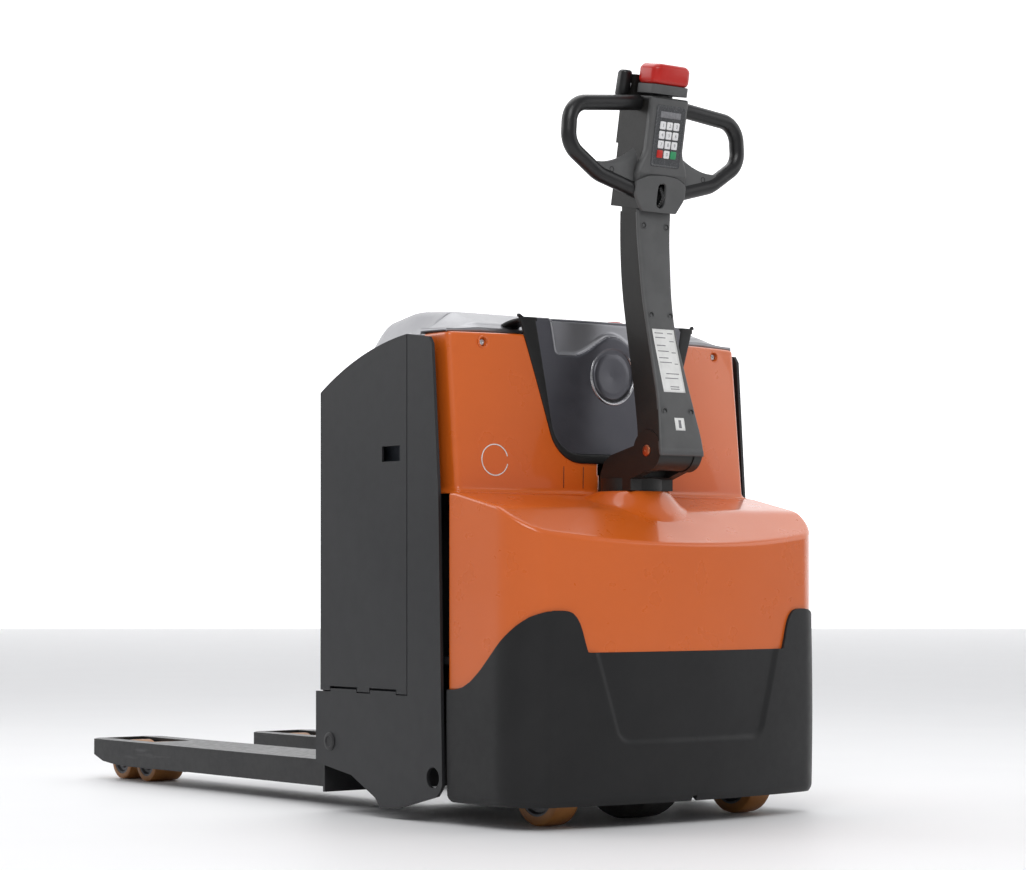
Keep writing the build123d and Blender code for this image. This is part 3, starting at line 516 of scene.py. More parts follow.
addCamera()
addStage()
addLight("key", (-2.2, -3.2, 3.4), (0, -0.5, 0.6), 2.2, 75)
addLight("fill", (3.2, -2.8, 2.2), (0, -0.5, 0.5), 2.5, 22)
addLight("top", (0.2, 0.4, 3.6), (0, -0.1, 0.4), 2.6, 35)
addLight("rear", (-2.6, 2.6, 2.6), (0, 0, 0.5), 2.0, 30)
bpy.context.scene.view_settings.view_transform = "Standard"
print("stage set")

# ---- shells of the drive end
nose = dict(
    sideY=noseY + 106, cornerX=300, cornerY=noseY + 31, bendX=338, bendY=noseY + 61, half=355,
    rear=noseY + 244,
)


def arcThrough(a, b, c, count):
    # the circle through three points, walked from the first to the last
    a, b, c = (np.asarray(p, float) for p in (a, b, c))
    m = np.array([b - a, c - b]) * 2
    centre = np.linalg.solve(m, [b @ b - a @ a, c @ c - b @ b])
    angles = [np.arctan2(*(p - centre)[::-1]) for p in (a, b, c)]
    angles = np.unwrap(angles)
    turn = np.linspace(angles[0], angles[2], count)
    return centre + np.linalg.norm(a - centre) * np.stack([np.cos(turn), np.sin(turn)], -1)


def evenLine(points, step):
    length = np.concatenate([[0], np.cumsum(np.linalg.norm(np.diff(points, axis=0), axis=1))])
    even = np.linspace(0, length[-1], int(length[-1] / step) + 1)
    return np.stack([np.interp(even, length, points[:, k]) for k in range(points.shape[1])], -1)


def softened(values, width):
    # a running mean, applied twice, with the two ends held
    kernel = np.ones(width) / width
    for _ in range(2):
        padded = np.pad(values, ((width // 2, width // 2), (0, 0)), mode="reflect", reflect_type="odd")
        values = np.stack([np.convolve(padded[:, k], kernel, "valid") for k in range(values.shape[1])], -1)
    return values


def nosePlan():
    # flat sides, round corners and a bowed nose, seen from above, from the left rear to the right rear
    n = nose
    end = (-n["cornerX"], n["cornerY"])
    corner = arcThrough((-n["half"], n["sideY"]), (-n["bendX"], n["bendY"]), end, 60)
    front = arcThrough(end, (0, noseY), (n["cornerX"], n["cornerY"]), 200)
    left = np.vstack([[(-n["half"], n["rear"])], corner])
    right = left[::-1] * (-1, 1)
    return softened(evenLine(np.vstack([left, front[1:-1], right]), 1.0), 15)


planLine = nosePlan()
planStep = np.gradient(planLine, axis=0)
planStep /= np.linalg.norm(planStep, axis=1)[:, None]
planOut = np.stack([planStep[:, 1], -planStep[:, 0]], -1)
planReach = (len(planLine) - 1) / 2
planS = np.linspace(-planReach, planReach, len(planLine))


def planAt(s, inset):
    # points of the plan at distance s along it from the middle of the nose, moved inward
    x = np.interp(s, planS, planLine[:, 0]) - np.interp(s, planS, planOut[:, 0]) * inset
    y = np.interp(s, planS, planLine[:, 1]) - np.interp(s, planS, planOut[:, 1]) * inset
    return x, y


# height of the seam between the bumper and the cowl: level in the middle, a step up to a hump,
# then a fall to the rear
seamSideY = np.array([-775, -757, -739, -712, -684, -656, -629, -606, -585, -562]) + (noseY + 806)
seamSideZ = np.array([369, 360, 346, 322, 295, 269, 249, 238, 234, 233])
seamX = np.array([0, 222, 226, 231, 236, 241, 247, 254, 262, 272, 290])
seamZ = np.array([299, 299, 300, 316, 334, 348, 358, 365, 368.5, 370, 370])


def seamHeight(s):
    x, y = planAt(s, 0)
    x = np.abs(x)
    side = np.interp(y, seamSideY, seamSideZ)
    return np.where(x < 290, np.interp(x, seamX, seamZ), side)


def columnPlaces():
    # closer columns at the two steps of the seam, at the notch below and in the recess
    s = np.linspace(-planReach, planReach, 4000)
    off = np.abs(s)
    dense = 1 / 5.0 + (np.abs(off - 240) < 30) / 1.6 + (off < 8) / 1.2 + (np.abs(off - 190) < 32) / 3.0
    dense += (off > planReach - 16) / 2.0
    total = np.concatenate([[0], np.cumsum((dense[1:] + dense[:-1]) / 2 * np.diff(s))])
    return np.interp(np.linspace(0, total[-1], int(total[-1])), total, s)


bumperShape = dict(
    bottom=40, recessDepth=4, bevel=13, bottomZ=140, halfLow=166, halfTop=214, cornerRadius=26, wall=9,
)


def recessField(x, z):
    # signed distance to the outline of the recess, negative inside: two leaning sides and a floor,
    # with round corners
    b = bumperShape
    lean = (b["halfTop"] - b["halfLow"]) / (299 - b["bottomZ"])
    side = (np.abs(x) - (b["halfLow"] + lean * (z - b["bottomZ"]))) / np.hypot(1, lean)
    floor = b["bottomZ"] - z
    r = b["cornerRadius"]
    outside = np.hypot(np.maximum(side + r, 0), np.maximum(floor + r, 0))
    return np.minimum(np.maximum(side + r, floor + r), 0) + outside - r


def buildBumper():
    b = bumperShape
    s = columnPlaces()
    top = seamHeight(s)
    ends = np.clip((np.abs(s) - (planReach - 12)) / 12, 0, 1)
    bottom = b["bottom"] + 12 * (1 - np.sqrt(1 - ends**2 * 0.98))
    bottom = bottom + 9 * (np.abs(s) < 5)
    t = np.linspace(0, 1, 96)[:, None]
    z = bottom + t * (top - bottom)
    tuck = 5 * np.clip(1 - (z - b["bottom"]) / 14, 0, 1) ** 2
    x0, y0 = planAt(s, 0)
    field = recessField(np.broadcast_to(x0, z.shape), z)
    front = np.abs(s) < 262
    depth = b["recessDepth"] * (1 - smoothStep(-b["bevel"], 0, field)) * front
    belly = 1.6 * np.sin(np.pi * np.clip((z - 40) / 300, 0, 1))
    inset = np.maximum(tuck + depth + 1.6 - belly, 0)
    grid = np.stack([np.stack(planAt(s, row), -1) for row in inset])
    grid = np.dstack([grid, z])
    inside = (0, steerY, 200)
    obj = sheetPiece("bumperSkirt", grid, "skirtPlastic", "chassis", inside, b["wall"], ["bumper_skirt"])
    addBevel(obj, "lip", 1.6, segments=3, angle=50, harden=False)


cowlShape = dict(inset=6, ridge=6.5, wall=4, band=36, rearY=noseY + 250, top=573)
roofY = np.array([noseY + 8, noseY + 110, noseY + 232, noseY + 400])
roofZ = np.array([484, 546, 573, 573])


def roofHeight(y):
    # three slopes up from the ridge, with the bends between them rounded
    return sum(0.2 * np.interp(y + d, roofY, roofZ) for d in (-8, -4, 0, 4, 8))


def buildCowl():
    c = cowlShape
    s = columnPlaces()
    bottom = seamHeight(s) - 4
    x0, y0 = planAt(s, c["inset"])
    r = c["ridge"]
    edgeTop = roofHeight(y0)
    rings = []
    for t in np.linspace(0, 1, 44):
        z = bottom + t * (edgeTop - r - bottom)
        rings.append(np.stack([x0, y0, z], -1))
    for a in np.linspace(0, np.pi / 2, 9)[1:]:
        xi, yi = planAt(s, c["inset"] + r * (1 - np.cos(a)))
        rings.append(np.stack([xi, yi, roofHeight(yi) - r * (1 - np.sin(a))], -1))
    for d in np.linspace(r, c["band"], 9)[1:]:
        xi, yi = planAt(s, c["inset"] + d)
        rings.append(np.stack([xi, yi, roofHeight(yi)], -1))
    xi, yi = planAt(s, c["inset"] + c["band"])
    endX = 280 * s / planReach
    endY = np.full(len(s), c["rearY"])
    for t in np.linspace(0, 1, 30)[1:]:
        x, y = xi + t * (endX - xi), yi + t * (endY - yi)
        rings.append(np.stack([x, y, roofHeight(y)], -1))
    grid = np.array(rings)
    flat = grid.reshape(-1, 3)

    def clear(quads):
        centre = flat[quads].mean(1)
        return ~((np.hypot(centre[:, 0], centre[:, 1] - steerY) < 78) & (centre[:, 2] > 500))

    sheetPiece(
        "cowlShell", grid, "orangePaint", "chassis", (0, steerY, 350), c["wall"], ["lower_cowl"],
        keep=clear,
    )
    # a flared collar round the steering column, whose foot runs out into the sloping top
    turn = np.linspace(0, tau, 96, endpoint=False)
    collar = []
    for t in np.linspace(0, 1, 14):
        radius = 62 + 40 * t**1.6
        x, y = radius * np.sin(turn), steerY - radius * np.cos(turn)
        top = np.full(96, 577.5)
        foot = roofHeight(y) - 1.2
        share = smoothStep(0.08, 1.0, np.full(96, t))
        collar.append(np.stack([x, y, top + (foot - top) * share - 2.0 * (t < 0.04)], -1))
    collar = np.array(collar)
    points = collar.reshape(-1, 3)
    ringFaces = orient(points, gridFaces(14, 96, wrap=True), lambda p: np.array([0, 0, 1.0]) + 0 * p)
    obj = addObject("columnCollar", points, ringFaces, "orangePaint", "chassis", ["lower_cowl"])
    addWall(obj, 3)


hoodShape = dict(half=335, low=573, high=852, rear=noseY + 336, cornerRadius=15, topRadius=6, flare=9, wall=3)
hoodPlaces = dict(cornerLow=noseY + 240, midLow=noseY + 231, cornerHigh=noseY + 269, midHigh=noseY + 222)


def hoodFront(x, z):
    # the bowed front: a parabola across, whose ends lean back and whose middle leans forward towards the top
    h = hoodPlaces
    share = (z - 573) / 279
    corner = h["cornerLow"] + share * (h["cornerHigh"] - h["cornerLow"])
    middle = h["midLow"] + share * (h["midHigh"] - h["midLow"])
    return middle + (corner - middle) * (x / hoodShape["half"]) ** 2


trimLine = roundPath(
    [(-205, 888, 0), (-197, 866, 0), (-120, 628, 0), (120, 628, 0), (197, 866, 0), (205, 888, 0)],
    [30, 75, 75, 30], 2.0,
)
panelLine = roundPath([(-171, 888, 0), (-126, 645, 0), (126, 645, 0), (171, 888, 0)], [64, 64], 2.0)


def insideLine(x, z, line, shrink):
    # whether points lie inside an outline drawn in towards the middle, open at its top
    right = line[line[:, 0] >= 0]
    order = np.argsort(right[:, 1])
    halfAt = np.interp(z, right[order, 1], right[order, 0]) - shrink
    return (np.abs(x) < halfAt) & (z > line[:, 1].min() + shrink)


def hoodSection(z, grow):
    # one level of the hood: left side, round corner, bowed front, round corner, right side
    h = hoodShape
    half = h["half"] + grow
    x = np.linspace(-half, half, 170)
    y = hoodFront(x, z) - grow
    side = np.linspace(h["rear"], y[0], 16)
    line = np.vstack([
        np.column_stack([np.full(16, -half), side]), np.column_stack([x, y])[1:-1],
        np.column_stack([np.full(16, half), side[::-1]]),
    ])
    return line


def roundedSection(z, grow):
    line = evenLine(hoodSection(z, grow), 1.0)
    line = softened(line, hoodShape["cornerRadius"])
    reach = (len(line) - 1) / 2
    s = np.linspace(-reach, reach, len(line))
    places = np.linspace(-1, 1, 261) * reach
    return np.stack([np.interp(places, s, line[:, 0]), np.interp(places, s, line[:, 1])], -1)


def buildHood():
    h = hoodShape
    rings = []
    for z in np.concatenate([np.linspace(573, 583, 8), np.linspace(583, 846, 96)[1:]]):
        drop = np.clip(1 - (z - 573) / 10, 0, 1)
        grow = h["flare"] * (1 - np.sqrt(1 - 0.98 * drop**2))
        rings.append(np.column_stack([roundedSection(z, grow), np.full(261, z)]))
    for a in np.linspace(0, np.pi / 2, 7)[1:]:
        inward = -h["topRadius"] * (1 - np.cos(a))
        z = 846 + h["topRadius"] * np.sin(a)
        rings.append(np.column_stack([roundedSection(846, inward), np.full(261, z)]))
    rings.append(np.column_stack([roundedSection(846, -24), np.full(261, 852.0)]))
    grid = np.array(rings)
    flat = grid.reshape(-1, 3)

    def clear(quads):
        p = flat[quads].mean(1)
        front = p[:, 1] < noseY + 275
        hidden = insideLine(p[:, 0], p[:, 2], trimLine, 9) & front
        neck = np.hypot(p[:, 0], p[:, 1] - steerY) < 68
        screw = (np.hypot(np.abs(p[:, 0]) - 270, p[:, 2] - 835) < 8.5) & front
        return ~(hidden | neck | screw)

    sheetPiece(
        "upperHood", grid, "orangePaint", "chassis", (0, noseY + 380, 700), h["wall"], ["upper_hood"],
        keep=clear,
    )
    # a dished seat round each fixing screw, and the screw's round head with a hollow
    for side in (-1, 1):
        y = float(hoodFront(270, 835))
        seat = [
            (-0.9, 8.0), (-0.9, 10.6), (0.6, 11.4), (1.6, 11.0), (7, 8.6), (9, 6.2), (8, 5.6), (5, 7.2),
            (0.4, 8.0),
        ]
        lathePiece(
            f"screwSeat{side}", seat, (side * 270, y, 835), "orangePaint", "chassis", ["upper_hood"],
            axis="y",
        )
        head = [(7.5, 6.6), (4.4, 6.0), (3.2, 4.6), (3.0, 2.6), (5.2, 2.4), (5.4, 0.1), (9, 0.1), (9, 6.6)]
        lathePiece(
            f"hoodScrew{side}", head, (side * 270, y, 835), "brightSteel", "chassis", ["hood_screws"],
            axis="y",
        )


def buildTrim():
    count = 260
    outer, inner = (evenLine(line, np.linalg.norm(np.diff(line, axis=0), axis=1).sum() / (count - 1))[:count]
                    for line in (trimLine, panelLine))
    rows = []
    section = [(0, -1.5), (0.0, 1.4), (0.03, 2.3), (0.1, 2.8), (0.3, 3.4), (0.5, 3.8),
               (0.7, 4.0), (0.88, 3.9), (0.96, 3.3), (1.0, 2.2), (1.02, -1.0), (1.02, -4.0)]
    for w, out in section:
        p = outer * (1 - w) + inner * w
        flare = 5 * smoothStep(800, 884, p[:, 1]) * (1 - w)
        y = hoodFront(p[:, 0], p[:, 1]) - out - flare * 0.5
        rows.append(np.stack([p[:, 0], y, np.minimum(p[:, 1], 882)], -1))
    grid = np.array(rows)
    # the trim's two upper ends turn back over the hood
    for side in (-1, 1):
        across = np.linspace(0, 1, 9)
        top = []
        for t in np.linspace(0, 1, 12):
            x = side * (167 + (204 - 167) * across)
            y = hoodFront(x, 882) - 3 + 52 * t
            z = 881.5 - 9 * t**2 - 2.5 * across**3
            top.append(np.stack([x, y, z], -1))
        sheetPiece(
            f"trimReturn{side}", np.array(top), "trimPlastic", "chassis", (0, noseY + 260, 500), 6,
            ["hood_trim"],
        )
    sheetPiece("hoodTrim", grid, "trimPlastic", "chassis", (0, noseY + 600, 760), 5, ["hood_trim"])


panelShape = dict(scoopDepth=9, scoopZ=816, scoopSide=30, badgeRadius=44, badgeZ=786)


def buildPanel():
    p = panelShape
    right = panelLine[panelLine[:, 0] >= 0]
    order = np.argsort(right[:, 1])
    z = np.concatenate([645.2 + 62 * np.linspace(0, 1, 34) ** 1.6, np.linspace(707.2, 876, 86)[1:]])
    half = np.interp(z, right[order, 1], right[order, 0]) + 2
    u = np.linspace(-1, 1, 161)
    x = half[:, None] * u
    zz = np.broadcast_to(z[:, None], x.shape)
    # the scoop's edge: level, then lifting over the roundel as a cosine hill, with round corners
    lift = 37 * (0.5 + 0.5 * np.cos(np.pi * np.clip(x / 88, -1, 1)))
    below = zz - (p["scoopZ"] + lift)
    beside = half[:, None] - p["scoopSide"] - np.abs(x)
    r = 12
    under, past = r - below, r - beside
    gap = np.minimum(np.maximum(under, past), 0) + np.hypot(np.maximum(under, 0), np.maximum(past, 0)) - r
    scoop = p["scoopDepth"] * (1 - smoothStep(-11, 1, gap))
    ringOut = np.hypot(x, zz - p["badgeZ"])
    groove = 3.2 * (1 - smoothStep(46.6, 49.2, ringOut))
    y = hoodFront(x, zz) - 3.0 + scoop + groove
    grid = np.stack([x, y, zz], -1)
    roll = []
    for a in np.linspace(0, np.pi / 2, 6)[1:]:
        ring = grid[-1].copy()
        ring[:, 2] += 7 * np.sin(a)
        ring[:, 1] += 7 * (1 - np.cos(a))
        roll.append(ring)
    shelf = roll[-1].copy()
    shelf[:, 1] = np.maximum(shelf[:, 1], noseY + 262)
    grid = np.concatenate([grid, roll, [shelf]])
    edge = np.full(grid.shape[:2], 5.0)
    edge[: len(gap)] = gap
    edge = edge.reshape(-1)

    def inScoop(quads):
        return edge[quads].mean(1) < -3

    def outsideScoop(quads):
        return ~inScoop(quads)

    inside = (0, noseY + 600, 760)
    for name, finish, keep in (
        ("centrePanel", "panelPaint", outsideScoop), ("panelScoop", "scoopSilver", inScoop),
    ):
        sheetPiece(name, grid, finish, "chassis", inside, 3, ["centre_panel"], keep=keep)
    y = float(hoodFront(0, p["badgeZ"]))
    disc = [(0.4, 0.1), (-1.2, 30), (-1.0, 40), (0.2, 42.4), (2.0, 43.2), (6, 43.2), (6, 0.1)]
    lathePiece(
        "roundelDisc", disc, (0, y, p["badgeZ"]), "panelPaint", "chassis", ["roundel_badge"], cols=128,
        axis="y",
    )
    ring = [(-1.0, 47.6), (-2.6, 48.4), (-3.6, 50), (-3.2, 51.8), (-1.0, 52.8), (3, 52.6), (4, 50), (3, 47.6)]
    lathePiece(
        "roundelRim", ring, (0, y, p["badgeZ"]), "brightSteel", "chassis", ["roundel_badge"], cols=128,
        axis="y",
    )
    well = [(1.4, 43.0), (1.4, 47.8), (3.2, 47.8), (3.2, 43.0)]
    lathePiece(
        "roundelGroove", well, (0, y, p["badgeZ"]), "trimPlastic", "chassis", ["roundel_badge"], cols=128,
        axis="y",
    )


buildBumper()
buildCowl()
buildHood()
buildTrim()
buildPanel()
print("shells built")

# ---- tiller: front cover, labels and screws
armFrontZ = [600, 646, 735, 859, 919, 1021, armTop]
armFrontY = [pivotY - 40, pivotY - 40, pivotY - 21, pivotY + 15, pivotY + 26, pivotY + 35, pivotY + 35]
armHalfZ = [600, 658, 735, 859, 919, 1021, armTop]
armHalfX = [50, 50, 38.7, 31.2, 32.8, 36.2, 38.7]
insideArm = (0, pivotY + 60, 850)


def eased(z, knots, values):
    # straight runs between knots, with each bend rounded over about forty millimetres
    shifts = np.array([-20, -10, 0, 10, 20])
    return sum(np.interp(z + d, knots, values) for d in shifts) / len(shifts)


def armFront(z):
    # the front of the arm: a round end about the pivot, then a gentle double bend
    below = np.sqrt(np.maximum(40**2 - np.minimum(z - pivotZ, 0) ** 2, 0))
    return np.where(z < pivotZ, pivotY - below, eased(z, armFrontZ, armFrontY))


def coverSection(half, count=10):
    # across the cover: a return, a round edge, a faintly crowned front, a round edge and a return
    r = 5.0
    turn = np.linspace(0, np.pi / 2, count)
    left = np.column_stack([-half + r - r * np.cos(turn), r - r * np.sin(turn)])
    flat = np.column_stack([np.linspace(-half + r, half - r, 24)[1:-1], np.zeros(22)])
    flat[:, 1] = -0.8 * (1 - (flat[:, 0] / half) ** 2)
    right = left[::-1] * (-1, 1)
    return np.vstack([[(-half, 7.0)], left, flat, right, [(half, 7.0)]])


def buildArm():
    rows = []
    for z in np.linspace(pivotZ - 9.5, armTop - 1, 150):
        half = eased(z, armHalfZ, armHalfX) + 0.15
        section = coverSection(half)
        y = float(armFront(np.array(z)))
        pinch = min(1.0, max(0.0, (z - pivotZ + 9.5) / 4))
        across = y - 0.2 + section[:, 1] * (0.4 + 0.6 * pinch)
        rows.append(np.column_stack([section[:, 0], across, np.full(len(section), z)]))
    grid = np.array(rows)
    sheetPiece("armCover", grid, "tillerGrey", "tiller", insideArm, 2.2, ["arm_cover"])
    places = ((30.4, 714), (22.0, 884.4), (26.2, 1042.4))
    for n, (x, z) in enumerate(places):
        for side in (-1, 1):
            y = float(armFront(np.array(z))) - 0.9
            ring = [(-0.9, 4.9), (-1.1, 5.9), (-0.2, 6.4), (0.8, 6.2), (0.8, 4.9)]
            lathePiece(
                f"wellRim{n}{side}", ring, (side * x, y, z), "tillerGrey", "tiller", ["arm_cover"], cols=40,
                axis="y",
            )
            head = [(-0.2, 4.9), (-0.3, 3.2), (-0.1, 2.7), (1.2, 2.4), (1.4, 0.1), (3, 0.1), (3, 4.9)]
            lathePiece(
                f"armScrew{n}{side}", head, (side * x, y, z), "gripBlack", "tiller", ["arm_screws"],
                cols=40, axis="y",
            )


def labelSheet(name, xLow, xHigh, zLow, zHigh, out, finish):
    z = np.linspace(zLow, zHigh, max(int((zHigh - zLow) / 3), 2))
    x = np.linspace(xLow, xHigh, 8)
    y = armFront(z)[:, None] - 1.1 - out + 0.8 * (x[None, :] / 30) ** 2
    grid = np.stack(np.broadcast_arrays(x, y, z[:, None]), -1)
    sheetPiece(name, grid, finish, "tiller", insideArm, 0.3, ["arm_cover"])


def buildLabels():
    labelSheet("ratingPlate", -25, 25, 748, 860, 0.4, "labelWhite")
    labelSheet("smallPlate", -11, 11, 681, 703, 0.4, "labelWhite")
    labelSheet("smallMark", -3, 3, 685, 699, 0.55, "labelInk")
    lines = [(-21, -2, 852), (8, 20, 852), (-21, 2, 844), (10, 20, 838), (-21, -1, 830),
             (-21, 4, 820), (10, 20, 818), (-21, 0, 808), (-21, 6, 800), (12, 20, 798),
             (-12, 18, 780), (-16, 14, 772), (-8, 12, 757), (-8, 12, 753)]
    for n, (low, high, z) in enumerate(lines):
        labelSheet(f"plateRule{n}", low, high, z, z + 1.5, 0.5, "labelInk")


buildArm()
buildLabels()


# ---- tiller head, drawn in its own leaning frame
headShape = dict(place=(0, noseY + 132, 1085), tilt=10.4, half=41)


def headWorld(points):
    return placed(np.asarray(points, float), headShape["place"], headShape["tilt"])


def headGrid(name, grid, finish, inner, wall, node):
    sheetPiece(name, headWorld(grid), finish, "tiller", headWorld(inner), wall, [node])


def buildFace():
    # front of the head: a slightly crowned face with round edges, flared towards the hub
    rows = []
    for z in np.concatenate([[183.0, 183.0], np.linspace(182, 54, 90), [53, 51, 36]]):
        half = 41 + 16 * smoothStep(98, 50, z)
        r = 7.0
        turn = np.linspace(0, np.pi / 2, 8)
        left = np.column_stack([-half + r - r * np.cos(turn), -38 + r - r * np.sin(turn)])
        flat = np.column_stack([np.linspace(-half + r, half - r, 30)[1:-1], np.full(28, -38.0)])
        flat[:, 1] -= 0.6 * (1 - (flat[:, 0] / half) ** 2)
        section = np.vstack([[(-half, -24)], left, flat, left[::-1] * (-1, 1), [(half, -24)]])
        section[:, 1] += 2.6 * (z < 52)
        if not rows:
            section[:, 1] = np.maximum(section[:, 1], -30)
        rows.append(np.column_stack([section, np.full(len(section), z)]))
    headGrid("headFace", np.array(rows), "tillerGrey", (0, 0, 110), 2, "head_cover")


def buildHubCover():
    # a plate with an arched top and a waisted foot, in rings from its long upright slot to its rim
    turn = np.linspace(0, tau, 160, endpoint=False)
    slotX = 9.5 * np.cos(turn)
    slotZ = 16 + 12.5 * np.tanh(6 * np.sin(turn)) + 9.5 * np.sin(turn)
    rim = roundPath(
        [(0, 51.5, 0), (34, 49, 0), (57, 38, 0), (57, 14, 0), (39, -13, 0), (0, -13, 0)], [60, 8, 22, 5], 1.0
    )[:, :2]
    rim = np.vstack([rim, rim[::-1][1:-1] * (-1, 1)])
    angle = np.arctan2(rim[:, 1] - 16, rim[:, 0]) % tau
    order = np.argsort(angle)
    reach = np.interp(turn, angle[order], np.hypot(rim[order, 0], rim[order, 1] - 16), period=tau)
    rimX, rimZ = reach * np.cos(turn), 16 + reach * np.sin(turn)
    rings = []
    for t in (0.0, 0.0, 0.02, 0.06, 0.2, 0.4, 0.6, 0.8, 0.92, 0.97, 1.0, 1.0):
        x, z = slotX + t * (rimX - slotX), slotZ + t * (rimZ - slotZ)
        y = -40 + 3 * (x / 57) ** 2
        y = y + {0: 6, 1: 0.9, 10: 0.8, 11: 7}.get(len(rings), 0)
        rings.append(np.stack([x, y, z], -1))
    rings = np.array(rings)
    points = headWorld(rings.reshape(-1, 3))
    out = headWorld([(0, -400, 20)])[0] - headWorld([(0, 0, 20)])[0]
    faces = orient(points, gridFaces(12, 160, wrap=True), lambda p: out + 0 * p)
    addObject("hubCover", points, faces, "tillerGrey", "tiller", ["hub_cover"])
    plate = np.array([[(-15, -31, -10), (15, -31, -10)], [(-15, -31, 42), (15, -31, 42)]], float)
    headGrid("slotBack", plate, "gripBlack", (0, 20, 16), 1, "hub_cover")
    # the cable's ribbed loop seen in the slot
    t = np.linspace(0, 1, 60)
    path = np.column_stack([4 * np.sin(t * 3.0) - 1, -36 + 3 * np.cos(t * 6), -6 + 36 * t])
    radius = 3.6 + 0.5 * np.cos(t * tau * 9)
    loftPiece("headCable", headWorld(tubeRings(path, radius, 20)), "gripBlack", "tiller", ["hub_cover"])


def capRings(outline, x, z, levels):
    # an outline's rings about a place on the face, at each depth and scale
    return np.array([np.column_stack([outline[:, 0] * k + x, np.full(len(outline), y), outline[:, 1] * k + z])
                     for y, k in levels])


def buildKeypad():
    w, low, high = 33, 66, 172
    ring = roundedRect(w, (high - low) / 2, 4)
    levels = [(-37.5, 0), (-39.0, 0), (-39.5, 0.6), (-39.5, 1.8), (-38.9, 2.4), (-38.9, 4)]
    rings = []
    for y, shrink in levels:
        scale = np.array([(w - shrink) / w, ((high - low) / 2 - shrink) / ((high - low) / 2)])
        p = ring * scale
        rings.append(np.column_stack([p[:, 0], np.full(len(p), y), p[:, 1] + (low + high) / 2]))
    rings = np.array(rings)
    loftPiece("keypadPlate", headWorld(rings), "keypadFilm", "tiller", ["keypad"])
    rings = capRings(roundedRect(23, 5.5, 2), 0, 156, ((-38, 1), (-39.4, 1), (-39.7, 0.98)))
    loftPiece("keypadStrip", headWorld(rings), "labelInk", "tiller", ["keypad"])
    digits = [["", "0", ""], ["7", "8", "9"], ["4", "5", "6"], ["1", "2", "3"]]
    keyFinish = {(0, 0): "signalRed", (0, 2): "keyGreen"}
    for row in range(4):
        for col in range(3):
            x, z = (col - 1) * 15.5, 88 + row * 16.5
            levels = ((-38, 1), (-39.9, 1), (-40.4, 0.94), (-40.6, 0.85))
            rings = capRings(roundedRect(6.3, 6.8, 2), x, z, levels)
            finish = keyFinish.get((row, col), "keyWhite")
            loftPiece(f"key{row}{col}", headWorld(rings), finish, "tiller", ["keypad"])
            if digits[row][col]:
                curve = bpy.data.curves.new("digit", "FONT")
                curve.body = digits[row][col]
                curve.size = 0.0085
                curve.align_x, curve.align_y = "CENTER", "CENTER"
                temp = bpy.data.objects.new("digit", curve)
                mesh = bpy.data.meshes.new_from_object(temp)
                bpy.data.objects.remove(temp)
                co = np.array([v.co[:] for v in mesh.vertices]) / mm
                faces = [list(f.vertices) for f in mesh.polygons]
                local = np.column_stack([co[:, 0] + x, np.full(len(co), -40.75), co[:, 1] + z])
                addObject(
                    f"digit{digits[row][col]}", headWorld(local), faces, "labelInk", "tiller", ["keypad"],
                    smooth=False,
                )
                bpy.data.meshes.remove(mesh)


def buildHead():
    sleeve = blockRings((39.8, 29, 4), 1, 6) + (0, -8.2, 181.6)
    loftPiece("headSleeve", headWorld(sleeve), "gripBlack", "tiller")
    collar = blockRings((40.5, 26.4, 8.2), 1.2, 10) + (0, -9, 198.5)
    loftPiece("capCollar", headWorld(collar), "tillerGrey", "belly_switch", ["belly_button"])
    # the safety button's cap: round at every edge and lower towards its two ends
    rings = blockRings((42, 26.5, 19.3), 10, 14, 9)
    rings[..., 2] -= 5.0 * (rings[..., 0] / 42) ** 2 * smoothStep(-6, 19, rings[..., 2])
    rings = rings + (0, -9.3, 225.4)
    loftPiece("bellyCap", headWorld(rings), "signalRed", "belly_switch", ["belly_button"])
    for side in (-1, 1):
        wing = blockRings((11.5, 11.5, 24), 7, 9, 7)
        wing[..., 1] -= 3.5 * np.clip(wing[..., 2] / 22.5, 0, 1) ** 2
        wing = wing + (side * 50.4, 40, 203)
        loftPiece(f"throttleWing{side}", headWorld(wing), "gripBlack", "throttle", ["throttle_rocker"])
    shaft = np.array([(-48, 40, 202), (0, 40, 202), (48, 40, 202)], float)
    rings = tubeRings(shaft, 5, 24)
    loftPiece("throttleShaft", headWorld(rings), "brightSteel", "throttle", ["throttle_rocker"])


